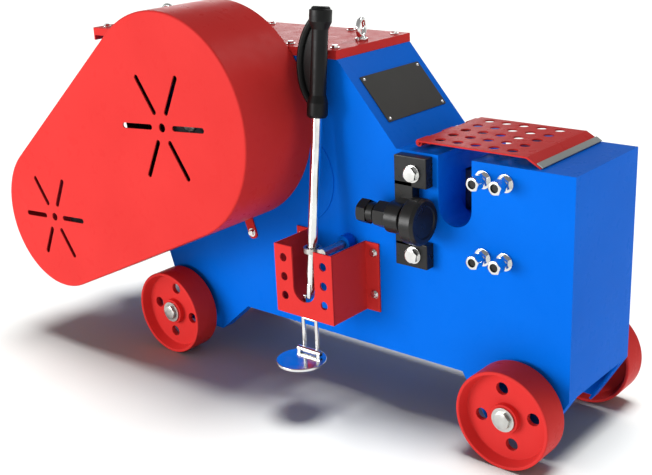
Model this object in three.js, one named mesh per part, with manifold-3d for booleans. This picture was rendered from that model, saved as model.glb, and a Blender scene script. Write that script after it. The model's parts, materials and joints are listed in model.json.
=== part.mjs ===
// Electric rebar cutter: a welded housing on four wheels, a belt-driven flywheel, two gear
// stages, a jaw clutch worked by a hand lever and a foot pedal, and a crank-driven shear blade.
//
// Machine axes, in millimetres: +X along the machine to the cutting head, -Y to the operator,
// +Z up. The housing's end face is x = 0, its operator face is y = 0 and the floor is z = 0.
// The group at the end moves this frame to the middle of the footprint.
import * as THREE from "three";
import { mergeVertices } from "three/addons/utils/BufferGeometryUtils.js";
import Module from "manifold-3d";

const wasm = await Module();
wasm.setup();

// ---------------------------------------------------------------- driving dimensions
const GAP = 0.3; // between touching pieces
const WIDTH = 232; // housing, outside
const MID = WIDTH / 2;
const WALL = 12;
const BODY_BOTTOM = 129;
const HEAD_TOP = 541;
const TOWER_TOP = 694;
const SLOPE_FOOT_X = -365;
const SLOPE_TOP_X = -498;
const BACK_LEAN = 0.3183; // x per z of the leaning back wall
const BACK_X = -996; // back wall where it meets the bottom
const HEAD_BACK_X = -385; // inside the tower, where the head begins
const HEAD_BLOCK_Z = [364, 529]; // the block between the side walls that guides the ram

const SLOT = { left: -272.3, right: -201.7, bottom: 412 };
const BLADE = { thick: 24, high: 76, long: 60, open: 42, shear: 0.6 };

const LID = { left: -1210, right: -498.5, high: 17, plate: 5, rim: 4, end: 28, over: 1.5 };
const LID_BOLTS = { first: -520, pitch: 111.7, count: 7, inset: 22, hole: 5.5 };
const PLATE = { wide: 188, high: 103, thick: 2, up: 104, mid: 119 };

const FLYWHEEL_AT = { x: -793, z: 567.5 };
const MOTOR_AT = { x: -1184, z: 316.5 };
const CRANK_AT = { x: -617, z: 454 };
const GUARD = { front: -186.5, back: -2.3, big: 226, small: 164.5, sheet: 3 };
const BELTS = { count: 3, pitch: 19, first: -99, wide: 12, high: 12 };
const PULLEY = { front: -110, back: -38, flywheel: 205, motor: 61 };

const STAGE_1 = { module: 5, driver: 13, driven: 43, from: 150, to: 178 };
const STAGE_2 = { module: 6, driver: 12, driven: 46, from: 34, to: 60 };
const BACKLASH = 0.9;
const JAW_HALF_ANGLE = 0.2; // clutch jaw, in radians
const SHAFT = { flywheel: 22, middle: 20, crank: 30 };
const THROW = 22; // crank
const ROD = { length: 170, from: 110, to: 142, eye: 80, journal: 60, wall: 12, pin: 15 };
const CLUTCH = { jaw: 12, gap: 4.6, body: 16, radius: 52 };

const MOTOR = { front: -38, back: 300, body: 100, foot: 112, shaft: 14, cowl: 84, seat: 111 };
const WHEEL = { radius: 94.3, wide: 60.2, outer: 71.4, axle: 15, hole: 12, ring: 53.8 };
const AXLE_X = [-963, -95.6];

const LEVER = { x: -514.5, pivotY: -90.5, pivotZ: 222, tilt: 7, pin: 6 };
const TUBE = { radius: 10.5, tip: 7, low: 29, taper: 70, high: 372 };
const GRIP = { radius: 21, length: 205, cap: 28 };
const BRACKET = { wide: 145, front: -108, low: 205, high: 347, sheet: 4, flange: 32 };
const SHIFT = { x: -484, z: 338, rod: 8, boss: 17, out: 22, end: -84, ring: 13 };
const PEDAL = { y: -125.5, z: 119, radius: 49.5, thick: 6, hinge: -100, spread: 16.5 };

const REST = { left: -355, right: -284, web: -314, low: 325, high: 537, thick: 22, pad: 57 };
const SCREW = { y: -46, z: 427, disc: 43.5, face: -270, thick: 33 };
const STUD_AT = [[-177.6, 510.4], [-132.8, 510.4], [-177.6, 366.6], [-132.8, 366.6]];
const COVER = { left: -327, bend: -101, edge: -73, near: 13, far: 229, top: 558.6, sheet: 3 };
const COVER_HOLES = { rows: 5, pitchX: 37.8, pitchY: 42, x: -218, y: 123, radius: 10 };
const HINGE = { x: -331, z: 551, pin: 3, knuckle: 7, leaf: 5.4, open: 54.6, close: 187.4 };

const middle = new THREE.Vector3(
  (MOTOR_AT.x - GUARD.small) / 2,
  (GUARD.front + WIDTH + WHEEL.outer) / 2,
  0,
);

// ---------------------------------------------------------------- solids
const TURN_TO_Y = Math.PI / 2;

// A closed three.js geometry as a solid that booleans can work on, with its faces outward.
function solid(geometry) {
  const bare = new THREE.BufferGeometry();
  const plain = geometry.index ? geometry.toNonIndexed() : geometry;
  bare.setAttribute("position", plain.getAttribute("position"));
  const merged = mergeVertices(bare, 1e-3);
  const triVerts = new Uint32Array(merged.index.array);
  const vertProperties = merged.attributes.position.array;
  const made = new wasm.Manifold(new wasm.Mesh({ numProp: 3, vertProperties, triVerts }));
  if (made.volume() > 0) return made;
  triVerts.reverse();
  return new wasm.Manifold(new wasm.Mesh({ numProp: 3, vertProperties, triVerts }));
}

const join = (first, ...rest) => rest.reduce((whole, piece) => whole.add(piece), first);
const cut = (first, ...rest) => rest.reduce((whole, piece) => whole.subtract(piece), first);

function outline(points) {
  return new THREE.Shape(points.map(([a, b]) => new THREE.Vector2(a, b)));
}

function extruded(shape, depth, curve = 8) {
  return new THREE.ExtrudeGeometry(shape, { depth, bevelEnabled: false, curveSegments: curve });
}

// An (x, z) shape between two y values.
function alongY(shape, from, to, curve) {
  return solid(extruded(shape, to - from, curve).rotateX(TURN_TO_Y).translate(0, to, 0));
}

function box(x, y, z) {
  const size = [x[1] - x[0], y[1] - y[0], z[1] - z[0]];
  const at = [(x[0] + x[1]) / 2, (y[0] + y[1]) / 2, (z[0] + z[1]) / 2];
  return solid(new THREE.BoxGeometry(...size).translate(...at));
}

// A round bar; `at` gives the two coordinates across its axis, in x, y, z order.
function bar(axis, radius, from, to, at, sides = 16) {
  const tube = new THREE.CylinderGeometry(radius, radius, to - from, sides);
  tube.translate(0, (from + to) / 2, 0);
  if (axis === "x") tube.rotateZ(-TURN_TO_Y).translate(0, at[0], at[1]);
  if (axis === "y") tube.translate(at[0], 0, at[1]);
  if (axis === "z") tube.rotateX(TURN_TO_Y).translate(at[0], at[1], 0);
  return solid(tube);
}

// The radius of a many-sided bore that a round bar of this radius turns freely in.
const bore = (radius, sides) => radius / Math.cos(Math.PI / sides) + GAP / 2;

const hexagon = (axis, radius, from, to, at) => bar(axis, radius, from, to, at, 6);

// A (radius, y) profile turned about the Y axis through (x, z), from the angle `start`.
function turned(profile, sides, { x, z }, start = 0) {
  const closed = [...profile, profile[0]].map(([r, y]) => new THREE.Vector2(r, y));
  return solid(new THREE.LatheGeometry(closed, sides, start).translate(x, 0, z));
}

const ringProfile = (inner, outer, from, to) => [
  [inner, from],
  [outer, from],
  [outer, to],
  [inner, to],
];

// The closed outline around two circles and their outer tangents, as a belt runs.
function beltOutline(bigRadius, smallRadius) {
  const run = Math.atan2(MOTOR_AT.z - FLYWHEEL_AT.z, MOTOR_AT.x - FLYWHEEL_AT.x);
  const span = Math.hypot(MOTOR_AT.x - FLYWHEEL_AT.x, MOTOR_AT.z - FLYWHEEL_AT.z);
  const touch = Math.acos((bigRadius - smallRadius) / span);
  const { x, z } = FLYWHEEL_AT;
  const shape = new THREE.Shape();
  shape.absarc(x, z, bigRadius, run + touch, run - touch + 2 * Math.PI, false);
  shape.absarc(MOTOR_AT.x, MOTOR_AT.z, smallRadius, run - touch, run + touch, false);
  return shape;
}

// ---------------------------------------------------------------- group and materials
const machine = new THREE.Group();
machine.position.set(-middle.x, -middle.y, 0);

const paint = (color) => new THREE.MeshStandardMaterial({ color, roughness: 0.35, metalness: 0.1 });
const metal = (color, rough) =>
  new THREE.MeshStandardMaterial({ color, roughness: rough, metalness: 1 });
const LOOK = {
  blue: paint(0x1f6fe0),
  red: paint(0xd8322e),
  black: paint(0x1c1c1e),
  grey: paint(0xa9aba8),
  darkGrey: paint(0x565654),
  rubber: new THREE.MeshStandardMaterial({ color: 0x151515, roughness: 0.9 }),
  chrome: metal(0xd8dade, 0.12),
  steel: metal(0x8f9296, 0.35),
  cast: metal(0x54565a, 0.6),
};

function add(name, piece, look, parent = machine) {
  const made = piece.getMesh();
  const geometry = new THREE.BufferGeometry();
  geometry.setAttribute("position", new THREE.BufferAttribute(made.vertProperties, 3));
  geometry.setIndex(new THREE.BufferAttribute(made.triVerts, 1));
  geometry.computeVertexNormals();
  const mesh = new THREE.Mesh(geometry, look);
  mesh.name = name;
  parent.add(mesh);
  return mesh;
}

// A span made longer by the same amount at both ends.
const grown = ([from, to], by) => [from - by, to + by];

// ---------------------------------------------------------------- gear train places
const backX = (z) => BACK_X - BACK_LEAN * (z - BODY_BOTTOM);
const pitchRadius = (stage, wheel) => (stage.module * stage[wheel]) / 2;
const reach1 = pitchRadius(STAGE_1, "driver") + pitchRadius(STAGE_1, "driven");
const reach2 = pitchRadius(STAGE_2, "driver") + pitchRadius(STAGE_2, "driven");

// The middle shaft hangs below the line from the crankshaft to the flywheel shaft.
function middleShaftPlace() {
  const dx = FLYWHEEL_AT.x - CRANK_AT.x;
  const dz = FLYWHEEL_AT.z - CRANK_AT.z;
  const apart = Math.hypot(dx, dz);
  const along = (reach2 ** 2 - reach1 ** 2 + apart ** 2) / (2 * apart);
  const aside = Math.sqrt(reach2 ** 2 - along ** 2);
  return {
    x: CRANK_AT.x + (along * dx - aside * dz) / apart,
    z: CRANK_AT.z + (along * dz + aside * dx) / apart,
  };
}
const MIDDLE_AT = middleShaftPlace();
const BEARINGS = [
  { name: "flywheel_bearing", at: FLYWHEEL_AT, shaft: SHAFT.flywheel, outer: 40 },
  { name: "middle_bearing", at: MIDDLE_AT, shaft: SHAFT.middle, outer: 38 },
  { name: "crank_bearing", at: CRANK_AT, shaft: SHAFT.crank, outer: 54 },
];
const BEARING_SPAN = { near: [4, 28], far: [WIDTH - 28, WIDTH - 4] };
const BEARING_SIDES = 12;

// ---------------------------------------------------------------- housing
function housingOutline() {
  const shape = outline([
    [0, BODY_BOTTOM],
    [0, HEAD_TOP],
    [SLOT.right, HEAD_TOP],
    [SLOT.right, SLOT.bottom + (SLOT.right - SLOT.left) / 2],
  ]);
  const radius = (SLOT.right - SLOT.left) / 2;
  shape.absarc(SLOT.right - radius, SLOT.bottom + radius, radius, 0, -Math.PI, true);
  shape.lineTo(SLOT.left, HEAD_TOP);
  shape.lineTo(SLOPE_FOOT_X, HEAD_TOP);
  shape.lineTo(SLOPE_TOP_X, TOWER_TOP);
  shape.lineTo(backX(TOWER_TOP), TOWER_TOP);
  shape.lineTo(backX(56), 56); // left foot
  shape.lineTo(-864, 56);
  shape.lineTo(-780, BODY_BOTTOM);
  shape.lineTo(-222, BODY_BOTTOM); // right foot
  shape.lineTo(-161, 33);
  shape.lineTo(-57, 33);
  return shape;
}

// Everything between the side walls that is open: the gear room, open at the top, and
// the space between the feet.
function housingRooms() {
  const inside = [WALL, WIDTH - WALL];
  const lean = WALL * Math.hypot(1, BACK_LEAN);
  const floor = BODY_BOTTOM + WALL;
  const room = outline([
    [backX(floor) + lean, floor],
    [HEAD_BACK_X, floor],
    [HEAD_BACK_X, HEAD_TOP],
    [SLOPE_FOOT_X - 16, HEAD_TOP],
    [SLOPE_TOP_X - 16, TOWER_TOP + 1],
    [backX(TOWER_TOP + 1) + lean, TOWER_TOP + 1],
  ]);
  const leftFoot = box([-1100, -700], inside, [0, BODY_BOTTOM]);
  const rightFoot = box([-300, 10], inside, [0, BODY_BOTTOM]);
  const headBase = box([-372, -24], [28, WIDTH - 28], [BODY_BOTTOM - 1, 352]);
  const blockSeat = box([HEAD_BACK_X - 1, SLOT.left + 0.2], inside, HEAD_BLOCK_Z);
  return [alongY(room, ...inside), leftFoot, rightFoot, headBase, blockSeat];
}

function bearingBosses() {
  const bosses = BEARINGS.flatMap(({ at, outer }) => [
    bar("y", outer + 14, WALL - 1, BEARING_SPAN.near[1], [at.x, at.z], BEARING_SIDES),
    bar("y", outer + 14, BEARING_SPAN.far[0], WIDTH - WALL + 1, [at.x, at.z], BEARING_SIDES),
  ]);
  const bores = BEARINGS.flatMap(({ at, outer }) => [
    bar("y", outer + GAP, ...grown(BEARING_SPAN.near, GAP), [at.x, at.z], BEARING_SIDES),
    bar("y", outer + GAP, ...grown(BEARING_SPAN.far, GAP), [at.x, at.z], BEARING_SIDES),
  ]);
  return { bosses, bores };
}

const RAM = { y: [76, 156], z: [CRANK_AT.z - 40, CRANK_AT.z + 40], back: -503, front: -300 };
const BLADE_Z = [CRANK_AT.z - BLADE.high / 2, CRANK_AT.z + BLADE.high / 2];
const FIXED_EDGE = SLOT.right - 2.3;
const FIXED_BLADE = {
  x: [FIXED_EDGE, FIXED_EDGE + BLADE.long],
  y: [MID + BLADE.shear / 2, MID + BLADE.shear / 2 + BLADE.thick],
};
const MOVING_BLADE = {
  x: [FIXED_EDGE - BLADE.open - BLADE.long, FIXED_EDGE - BLADE.open],
  y: [MID - BLADE.shear / 2 - BLADE.thick, MID - BLADE.shear / 2],
};
const STROKE = 2 * THROW;

function mainHousing() {
  const { bosses, bores } = bearingBosses();
  const feet = join(
    box([-985, -941], [WALL - 1, WIDTH - WALL + 1], [66, 72]),
    box([-160, -60], [WALL - 1, WIDTH - WALL + 1], [42, 48]),
  );
  const hollow = cut(alongY(housingOutline(), 0, WIDTH, 8), ...housingRooms());
  const shiftBoss = bar("y", SHIFT.boss, -SHIFT.out, 20, [SHIFT.x, SHIFT.z], 12);
  const shell = join(hollow, feet, shiftBoss, ...bosses);
  const holes = [
    bar("y", SHAFT.flywheel + 2, -1, 30, [FLYWHEEL_AT.x, FLYWHEEL_AT.z], 12),
    bar("y", bore(SHIFT.rod, 12), -SHIFT.out - 1, 30, [SHIFT.x, SHIFT.z], 12),
    box([HEAD_BACK_X - 5, SLOT.left + 40], grown(RAM.y, 0.5), grown(RAM.z, 0.5)),
    box([SLOT.left, MOVING_BLADE.x[1] + STROKE + 1], grown(MOVING_BLADE.y, 0.5), grown(BLADE_Z, 0.5)),
    box([SLOT.right - 10, FIXED_BLADE.x[1] + GAP], grown(FIXED_BLADE.y, GAP), grown(BLADE_Z, GAP)),
    ...AXLE_X.map((x) => bar("y", bore(WHEEL.axle, 12), -1, WIDTH + 1, [x, WHEEL.radius], 12)),
    ...STUD_AT.map((at) => bar("y", 6 + GAP, -1, 26, at, 8)),
    ...REST_BOLT_Z.map((z) => bar("y", 7 + GAP, -1, 26, [REST_BOLT_X, z], 8)),
  ];
  add("main_housing", cut(shell, ...bores, ...holes), LOOK.blue);
}

// The head's block beside the slot, with the ram's square passage.
function headBlock() {
  const x = [HEAD_BACK_X, SLOT.left - GAP];
  const block = box(x, grown([WALL, WIDTH - WALL], -GAP), grown(HEAD_BLOCK_Z, -GAP));
  const passage = box(grown(x, 1), grown(RAM.y, 0.5), grown(RAM.z, 0.5));
  const boltHole = bar("y", 7 + GAP, -1, 26, [REST_BOLT_X, REST_BOLT_Z[0]], 8);
  add("head_block", cut(block, passage, boltHole), LOOK.blue);
}

function topLid() {
  const y = [-LID.over, WIDTH + LID.over];
  const foot = TOWER_TOP + GAP;
  const top = foot + LID.high;
  const inner = grown(y, -LID.rim);
  const tray = box([LID.left, LID.right], y, [foot, top]);
  const skirt = box([LID.left, LID.left + LID.rim], y, [top - LID.end, top]);
  const hollow = box([LID.left + LID.rim, LID.right - LID.rim], inner, [foot - 1, top - LID.plate]);
  const rows = [LID_BOLTS.inset, WIDTH - LID_BOLTS.inset];
  const pads = [];
  const holes = [];
  for (let i = 0; i < LID_BOLTS.count; i += 1) {
    const x = LID_BOLTS.first - i * LID_BOLTS.pitch;
    for (const row of rows) holes.push(bar("z", LID_BOLTS.hole, foot - 1, top + 1, [x, row], 6));
  }
  for (const { x } of EYE_BOLTS) {
    pads.push(bar("z", 20, foot + 3, top - 1, [x, MID], 12));
    holes.push(bar("z", 6 + GAP, foot, top + 1, [x, MID], 12));
  }
  add("top_lid", cut(join(cut(tray, hollow), skirt, ...pads), ...holes), LOOK.red);
}

const EYE_BOLTS = [
  { name: "eye_bolt_right", x: -530, turn: 107 },
  { name: "eye_bolt_left", x: -1085, turn: 0 },
];
const EYE = { ring: 17, wire: 5, stem: 24, collar: 13 };

function eyeBolts() {
  const top = TOWER_TOP + GAP + LID.high;
  for (const { name, x, turn } of EYE_BOLTS) {
    const ring = new THREE.TorusGeometry(EYE.ring, EYE.wire, 6, 16).rotateX(TURN_TO_Y);
    ring.rotateZ(THREE.MathUtils.degToRad(turn)).translate(x, MID, top + EYE.stem);
    const collar = bar("z", EYE.collar, top + GAP, top + 5, [x, MID], 12);
    const neck = bar("z", 7, top + 2, top + EYE.stem - EYE.ring, [x, MID], 8);
    const shank = bar("z", 6, top - 13, top + 2, [x, MID], 8);
    add(name, join(solid(ring), collar, neck, shank), LOOK.chrome);
  }
}

// A plate lying on the slope, with its corners at the rivets.
function nameplate() {
  const slope = new THREE.Vector2(SLOPE_TOP_X - SLOPE_FOOT_X, TOWER_TOP - HEAD_TOP).normalize();
  const plate = new THREE.BoxGeometry(PLATE.high, PLATE.wide, PLATE.thick);
  plate.translate(PLATE.up, PLATE.mid, PLATE.thick / 2 + GAP);
  const turn = new THREE.Matrix4().makeBasis(
    new THREE.Vector3(slope.x, 0, slope.y),
    new THREE.Vector3(0, -1, 0),
    new THREE.Vector3(slope.y, 0, -slope.x),
  );
  plate.translate(0, -2 * PLATE.mid, 0).applyMatrix4(turn);
  plate.translate(SLOPE_FOOT_X, 0, HEAD_TOP);
  add("nameplate", solid(plate), LOOK.darkGrey);
}

// ---------------------------------------------------------------- belt guard
const GUARD_TAB = { x: -747.5, low: 294, wide: 24, hole: 5 };

// Six slots and a centre hole cut through the guard's front.
function ventStar({ x, z }, from, to) {
  const cuts = [bar("y", 9, GUARD.front - 1, GUARD.front + 10, [x, z], 8)];
  const shape = new THREE.Shape();
  shape.absarc(to, 0, 5.5, -Math.PI / 2, Math.PI / 2, false);
  shape.absarc(from, 0, 5.5, Math.PI / 2, 1.5 * Math.PI, false);
  for (let i = 0; i < 6; i += 1) {
    const slot = extruded(shape, 12, 2).rotateX(TURN_TO_Y);
    slot.rotateY(-THREE.MathUtils.degToRad(4 + 60 * i)).translate(x, GUARD.front + 10, z);
    cuts.push(solid(slot));
  }
  return cuts;
}

function beltGuard() {
  const { front, back, sheet } = GUARD;
  const outside = alongY(beltOutline(GUARD.big, GUARD.small), front, back, 12);
  const inside = beltOutline(GUARD.big - sheet, GUARD.small - sheet);
  const hollow = alongY(inside, front + sheet, back + 1, 12);
  const tabX = [GUARD_TAB.x - GUARD_TAB.wide / 2, GUARD_TAB.x + GUARD_TAB.wide / 2];
  const tab = box(tabX, [-sheet - GAP, -GAP], [GUARD_TAB.low, 352]);
  const hole = bar("y", GUARD_TAB.hole, back - 9, back + 9, [GUARD_TAB.x, GUARD_TAB.low + 17], 10);
  const stars = [...ventStar(FLYWHEEL_AT, 35, 113), ...ventStar(MOTOR_AT, 35, 98)];
  add("belt_guard", cut(join(cut(outside, hollow), tab), ...stars, hole), LOOK.red);
}

// ---------------------------------------------------------------- motor
function motorParts() {
  const frame = new THREE.Group();
  frame.position.set(MOTOR_AT.x, 0, MOTOR_AT.z);
  frame.rotation.y = -Math.PI / 2 - Math.atan(BACK_LEAN);
  machine.add(frame);
  const centre = { x: 0, z: 0 };
  const mouth = MOTOR.back - MOTOR.cowl;

  const fins = [];
  for (let i = 0; i < 12; i += 1) {
    const fin = new THREE.BoxGeometry(4, mouth - 30, 24).translate(0, mouth / 2 - 15, 98);
    fins.push(solid(fin.rotateY(THREE.MathUtils.degToRad(30 * i + 15))));
  }
  const shell = turned(ringProfile(62, MOTOR.body, MOTOR.front + 2, mouth), 20, centre);
  const shield = turned(ringProfile(MOTOR.shaft + 4, 92, MOTOR.front, MOTOR.front + 16), 20, centre);
  const endShield = turned(ringProfile(MOTOR.shaft + 4, 80, mouth - 14, mouth), 20, centre);
  const feet = [-1, 1].map((side) => {
    const x = side > 0 ? [70, 118] : [-118, -70];
    return join(
      box(x, [20, 180], [-MOTOR.foot, -MOTOR.foot + 14]),
      box(side > 0 ? [70, 90] : [-90, -70], [20, 180], [-MOTOR.foot, -55]),
    );
  });
  const boxSeat = box([-44, 44], [40, 140], [60, MOTOR.seat]);
  const room = bar("y", 64, MOTOR.front + 17, mouth - 15, [0, 0], 20);
  const housing = cut(join(shell, shield, endShield, boxSeat, ...fins, ...feet), room);
  add("motor_housing", housing, LOOK.blue, frame);

  const rim = mouth + GAP;
  const cowlShell = turned(ringProfile(104, 107, rim - 12, MOTOR.back), 24, centre);
  const grille = turned(ringProfile(10, 106, MOTOR.back - 3, MOTOR.back), 24, centre);
  const vents = [];
  for (let i = 0; i < 8; i += 1) {
    const vent = new THREE.BoxGeometry(16, 10, 56).translate(0, MOTOR.back, 62);
    vents.push(solid(vent.rotateY(THREE.MathUtils.degToRad(45 * i))));
  }
  const tabs = [45, 135, 225, 315].map((angle) => {
    const tab = new THREE.BoxGeometry(16, 6, 42).translate(0, rim + 3, 84);
    return solid(tab.rotateY(THREE.MathUtils.degToRad(angle)));
  });
  add("motor_fan_cowl", join(cowlShell, cut(grille, ...vents), ...tabs), LOOK.blue, frame);

  const lidBox = box([-48, 48], [36, 144], [MOTOR.seat + GAP, MOTOR.seat + 41]);
  const gland = bar("x", 12, 47, 70, [70, MOTOR.seat + 20], 10);
  add("motor_terminal_box", join(lidBox, gland), LOOK.blue, frame);

  const plate = box([-150, 150], [12, 220], [-MOTOR.foot - 10 + GAP, -MOTOR.foot - GAP]);
  const slots = [-94, 94].flatMap((x) => [45, 155].map((y) =>
    box([x - 12, x + 12], [y - 6, y + 6], [-MOTOR.foot - 12, -MOTOR.foot + 1])));
  add("motor_plate", cut(plate, ...slots), LOOK.blue, frame);

  const core = bar("y", 60, 10, 150, [0, 0], 20);
  const shaft = bar("y", MOTOR.shaft, MOTOR.front - 62, MOTOR.back - 12, [0, 0], 12);
  const blades = [];
  for (let i = 0; i < 6; i += 1) {
    const blade = new THREE.BoxGeometry(3, 34, 72).translate(0, mouth + 36, 47);
    blades.push(solid(blade.rotateY(THREE.MathUtils.degToRad(60 * i))));
  }
  add("motor_rotor", join(core, shaft, ...blades), LOOK.steel, frame);
}

// ---------------------------------------------------------------- pulleys and belts
const beltFront = (i) => BELTS.first + BELTS.pitch * i - BELTS.wide / 2;

// A pulley rim's (radius, y) profile with one square groove for each belt.
function groovedProfile(outer, bore) {
  const points = [[bore, PULLEY.front], [outer, PULLEY.front]];
  const floor = outer - BELTS.high - 1;
  for (let i = 0; i < BELTS.count; i += 1) {
    const from = beltFront(i) - 1;
    const to = from + BELTS.wide + 2;
    points.push([outer, from], [floor, from], [floor, to], [outer, to]);
  }
  points.push([outer, PULLEY.back], [bore, PULLEY.back]);
  return points;
}

function pulleysAndBelts() {
  const rim = turned(groovedProfile(PULLEY.flywheel, 168), 24, FLYWHEEL_AT);
  const web = turned(ringProfile(40, 172, -84, -64), 24, FLYWHEEL_AT);
  const hub = turned(ringProfile(SHAFT.flywheel + GAP, 46, -112, -34), 12, FLYWHEEL_AT);
  const windows = [];
  for (let i = 0; i < 5; i += 1) {
    const angle = (i * 2 * Math.PI) / 5 + 0.3;
    const at = [FLYWHEEL_AT.x + 106 * Math.cos(angle), FLYWHEEL_AT.z + 106 * Math.sin(angle)];
    windows.push(bar("y", 38, -90, -58, at, 8));
  }
  add("flywheel", join(rim, cut(web, ...windows), hub), LOOK.cast);
  const small = turned(groovedProfile(PULLEY.motor, MOTOR.shaft + 1), 16, MOTOR_AT);
  add("motor_pulley", small, LOOK.cast);
  for (let i = 0; i < BELTS.count; i += 1) {
    const from = beltFront(i);
    const outer = beltOutline(PULLEY.flywheel, PULLEY.motor);
    const inner = beltOutline(PULLEY.flywheel - BELTS.high + 0.5, PULLEY.motor - BELTS.high + 0.5);
    const loop = cut(
      alongY(outer, from, from + BELTS.wide, 10),
      alongY(inner, from - 1, from + BELTS.wide + 1, 10),
    );
    add(`v_belt_${i + 1}`, loop, LOOK.rubber);
  }
}

// ---------------------------------------------------------------- gears and shafts
const involute = (angle) => Math.tan(angle) - angle;

// Half the angle that a tooth fills at a radius, thinned by its share of the backlash.
function toothHalfAngle(radius, teeth, module) {
  const pitch = (teeth * module) / 2;
  const pressure = THREE.MathUtils.degToRad(20);
  const base = pitch * Math.cos(pressure);
  const here = Math.acos(Math.min(1, base / Math.max(radius, base)));
  const half = Math.PI / (2 * teeth) - BACKLASH / (4 * pitch);
  return half + involute(pressure) - involute(here);
}

// An (x, z) gear outline centred on `at`, with a tooth at the angle `first`.
function gearOutline(teeth, module, at, first, steps) {
  const pitch = (teeth * module) / 2;
  const root = pitch - 1.1 * module;
  const tip = pitch + 0.8 * module;
  const points = [];
  const put = (radius, angle) =>
    points.push([at.x + radius * Math.cos(angle), at.z + radius * Math.sin(angle)]);
  for (let tooth = 0; tooth < teeth; tooth += 1) {
    const mid = first + (tooth * 2 * Math.PI) / teeth;
    for (let i = 0; i <= steps; i += 1) {
      const radius = root + ((tip - root) * i) / steps;
      put(radius, mid - toothHalfAngle(radius, teeth, module));
    }
    for (let i = steps; i >= 0; i -= 1) {
      const radius = root + ((tip - root) * i) / steps;
      put(radius, mid + toothHalfAngle(radius, teeth, module));
    }
  }
  return outline(points);
}

// Tooth angles that let a pair mesh: a tooth of the driver meets a gap of the driven gear.
function meshAngles(driverAt, drivenAt, drivenTeeth) {
  const toward = Math.atan2(drivenAt.z - driverAt.z, drivenAt.x - driverAt.x);
  return { driver: toward, driven: toward + Math.PI + Math.PI / drivenTeeth };
}

function spokeHoles(at, count, ring, radius, from, to) {
  const holes = [];
  for (let i = 0; i < count; i += 1) {
    const angle = (2 * Math.PI * i) / count;
    const place = [at.x + ring * Math.cos(angle), at.z + ring * Math.sin(angle)];
    holes.push(bar("y", radius, from, to, place, 8));
  }
  return holes;
}

// Four jaws, a quarter turn apart and wide enough apart to engage at most angles.
function jaws(from, to, start) {
  const pieces = [];
  for (let i = 0; i < 4; i += 1) {
    const low = start + (i * Math.PI) / 2 - JAW_HALF_ANGLE;
    const high = low + 2 * JAW_HALF_ANGLE;
    const shape = new THREE.Shape();
    shape.absarc(0, 0, CLUTCH.radius, low, high, false);
    shape.absarc(0, 0, SHAFT.crank + 5, high, low, true);
    const jaw = extruded(shape, to - from, 1).rotateX(TURN_TO_Y);
    pieces.push(solid(jaw.translate(CRANK_AT.x, to, CRANK_AT.z)));
  }
  return pieces;
}

function gearTrain() {
  const first = meshAngles(FLYWHEEL_AT, MIDDLE_AT, STAGE_1.driven);
  const second = meshAngles(MIDDLE_AT, CRANK_AT, STAGE_2.driven);
  const { from: f1, to: t1 } = STAGE_1;
  const { from: f2, to: t2 } = STAGE_2;

  const pinion = gearOutline(STAGE_1.driver, STAGE_1.module, FLYWHEEL_AT, first.driver, 2);
  const flyAt = [FLYWHEEL_AT.x, FLYWHEEL_AT.z];
  const flyShaft = bar("y", SHAFT.flywheel, -116, WIDTH - 5, flyAt, 12);
  add("pinion_shaft", join(flyShaft, alongY(pinion, f1 - 2, t1 + 2)), LOOK.steel);

  const midAt = [MIDDLE_AT.x, MIDDLE_AT.z];
  const midPinion = gearOutline(STAGE_2.driver, STAGE_2.module, MIDDLE_AT, second.driver, 2);
  const midShaft = bar("y", SHAFT.middle, 5, WIDTH - 5, midAt, 12);
  add("intermediate_shaft", join(midShaft, alongY(midPinion, f2 - 2, t2 + 2)), LOOK.steel);

  const midGear = gearOutline(STAGE_1.driven, STAGE_1.module, MIDDLE_AT, first.driven, 1);
  const midHub = bar("y", 36, f1 - 12, t1 + 12, midAt, 12);
  const midBore = bar("y", SHAFT.middle + GAP, f1 - 20, t1 + 20, midAt, 12);
  const midHoles = spokeHoles(MIDDLE_AT, 6, 68, 18, f1 - 1, t1 + 1);
  const midWheel = cut(join(alongY(midGear, f1, t1), midHub), midBore, ...midHoles);
  add("intermediate_gear", midWheel, LOOK.cast);

  const mainAt = [CRANK_AT.x, CRANK_AT.z];
  const mainGear = gearOutline(STAGE_2.driven, STAGE_2.module, CRANK_AT, second.driven, 1);
  const mainBore = bar("y", bore(SHAFT.crank, 12), f2 - 9, t2 + 20, mainAt, 12);
  const mainHoles = spokeHoles(CRANK_AT, 6, 92, 24, f2 - 1, t2 + 1);
  const mainJaws = jaws(t2 - 1, t2 + CLUTCH.jaw, 0);
  const mainWheel = cut(join(alongY(mainGear, f2, t2), ...mainJaws), mainBore, ...mainHoles);
  add("main_gear", mainWheel, LOOK.cast);
}

// ---------------------------------------------------------------- crank, clutch and ram
const SLEEVE_FROM = STAGE_2.to + CLUTCH.jaw + CLUTCH.gap; // tips of the sleeve's jaws
const RAM_PIN_X = CRANK_AT.x - THROW + ROD.length;

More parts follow.
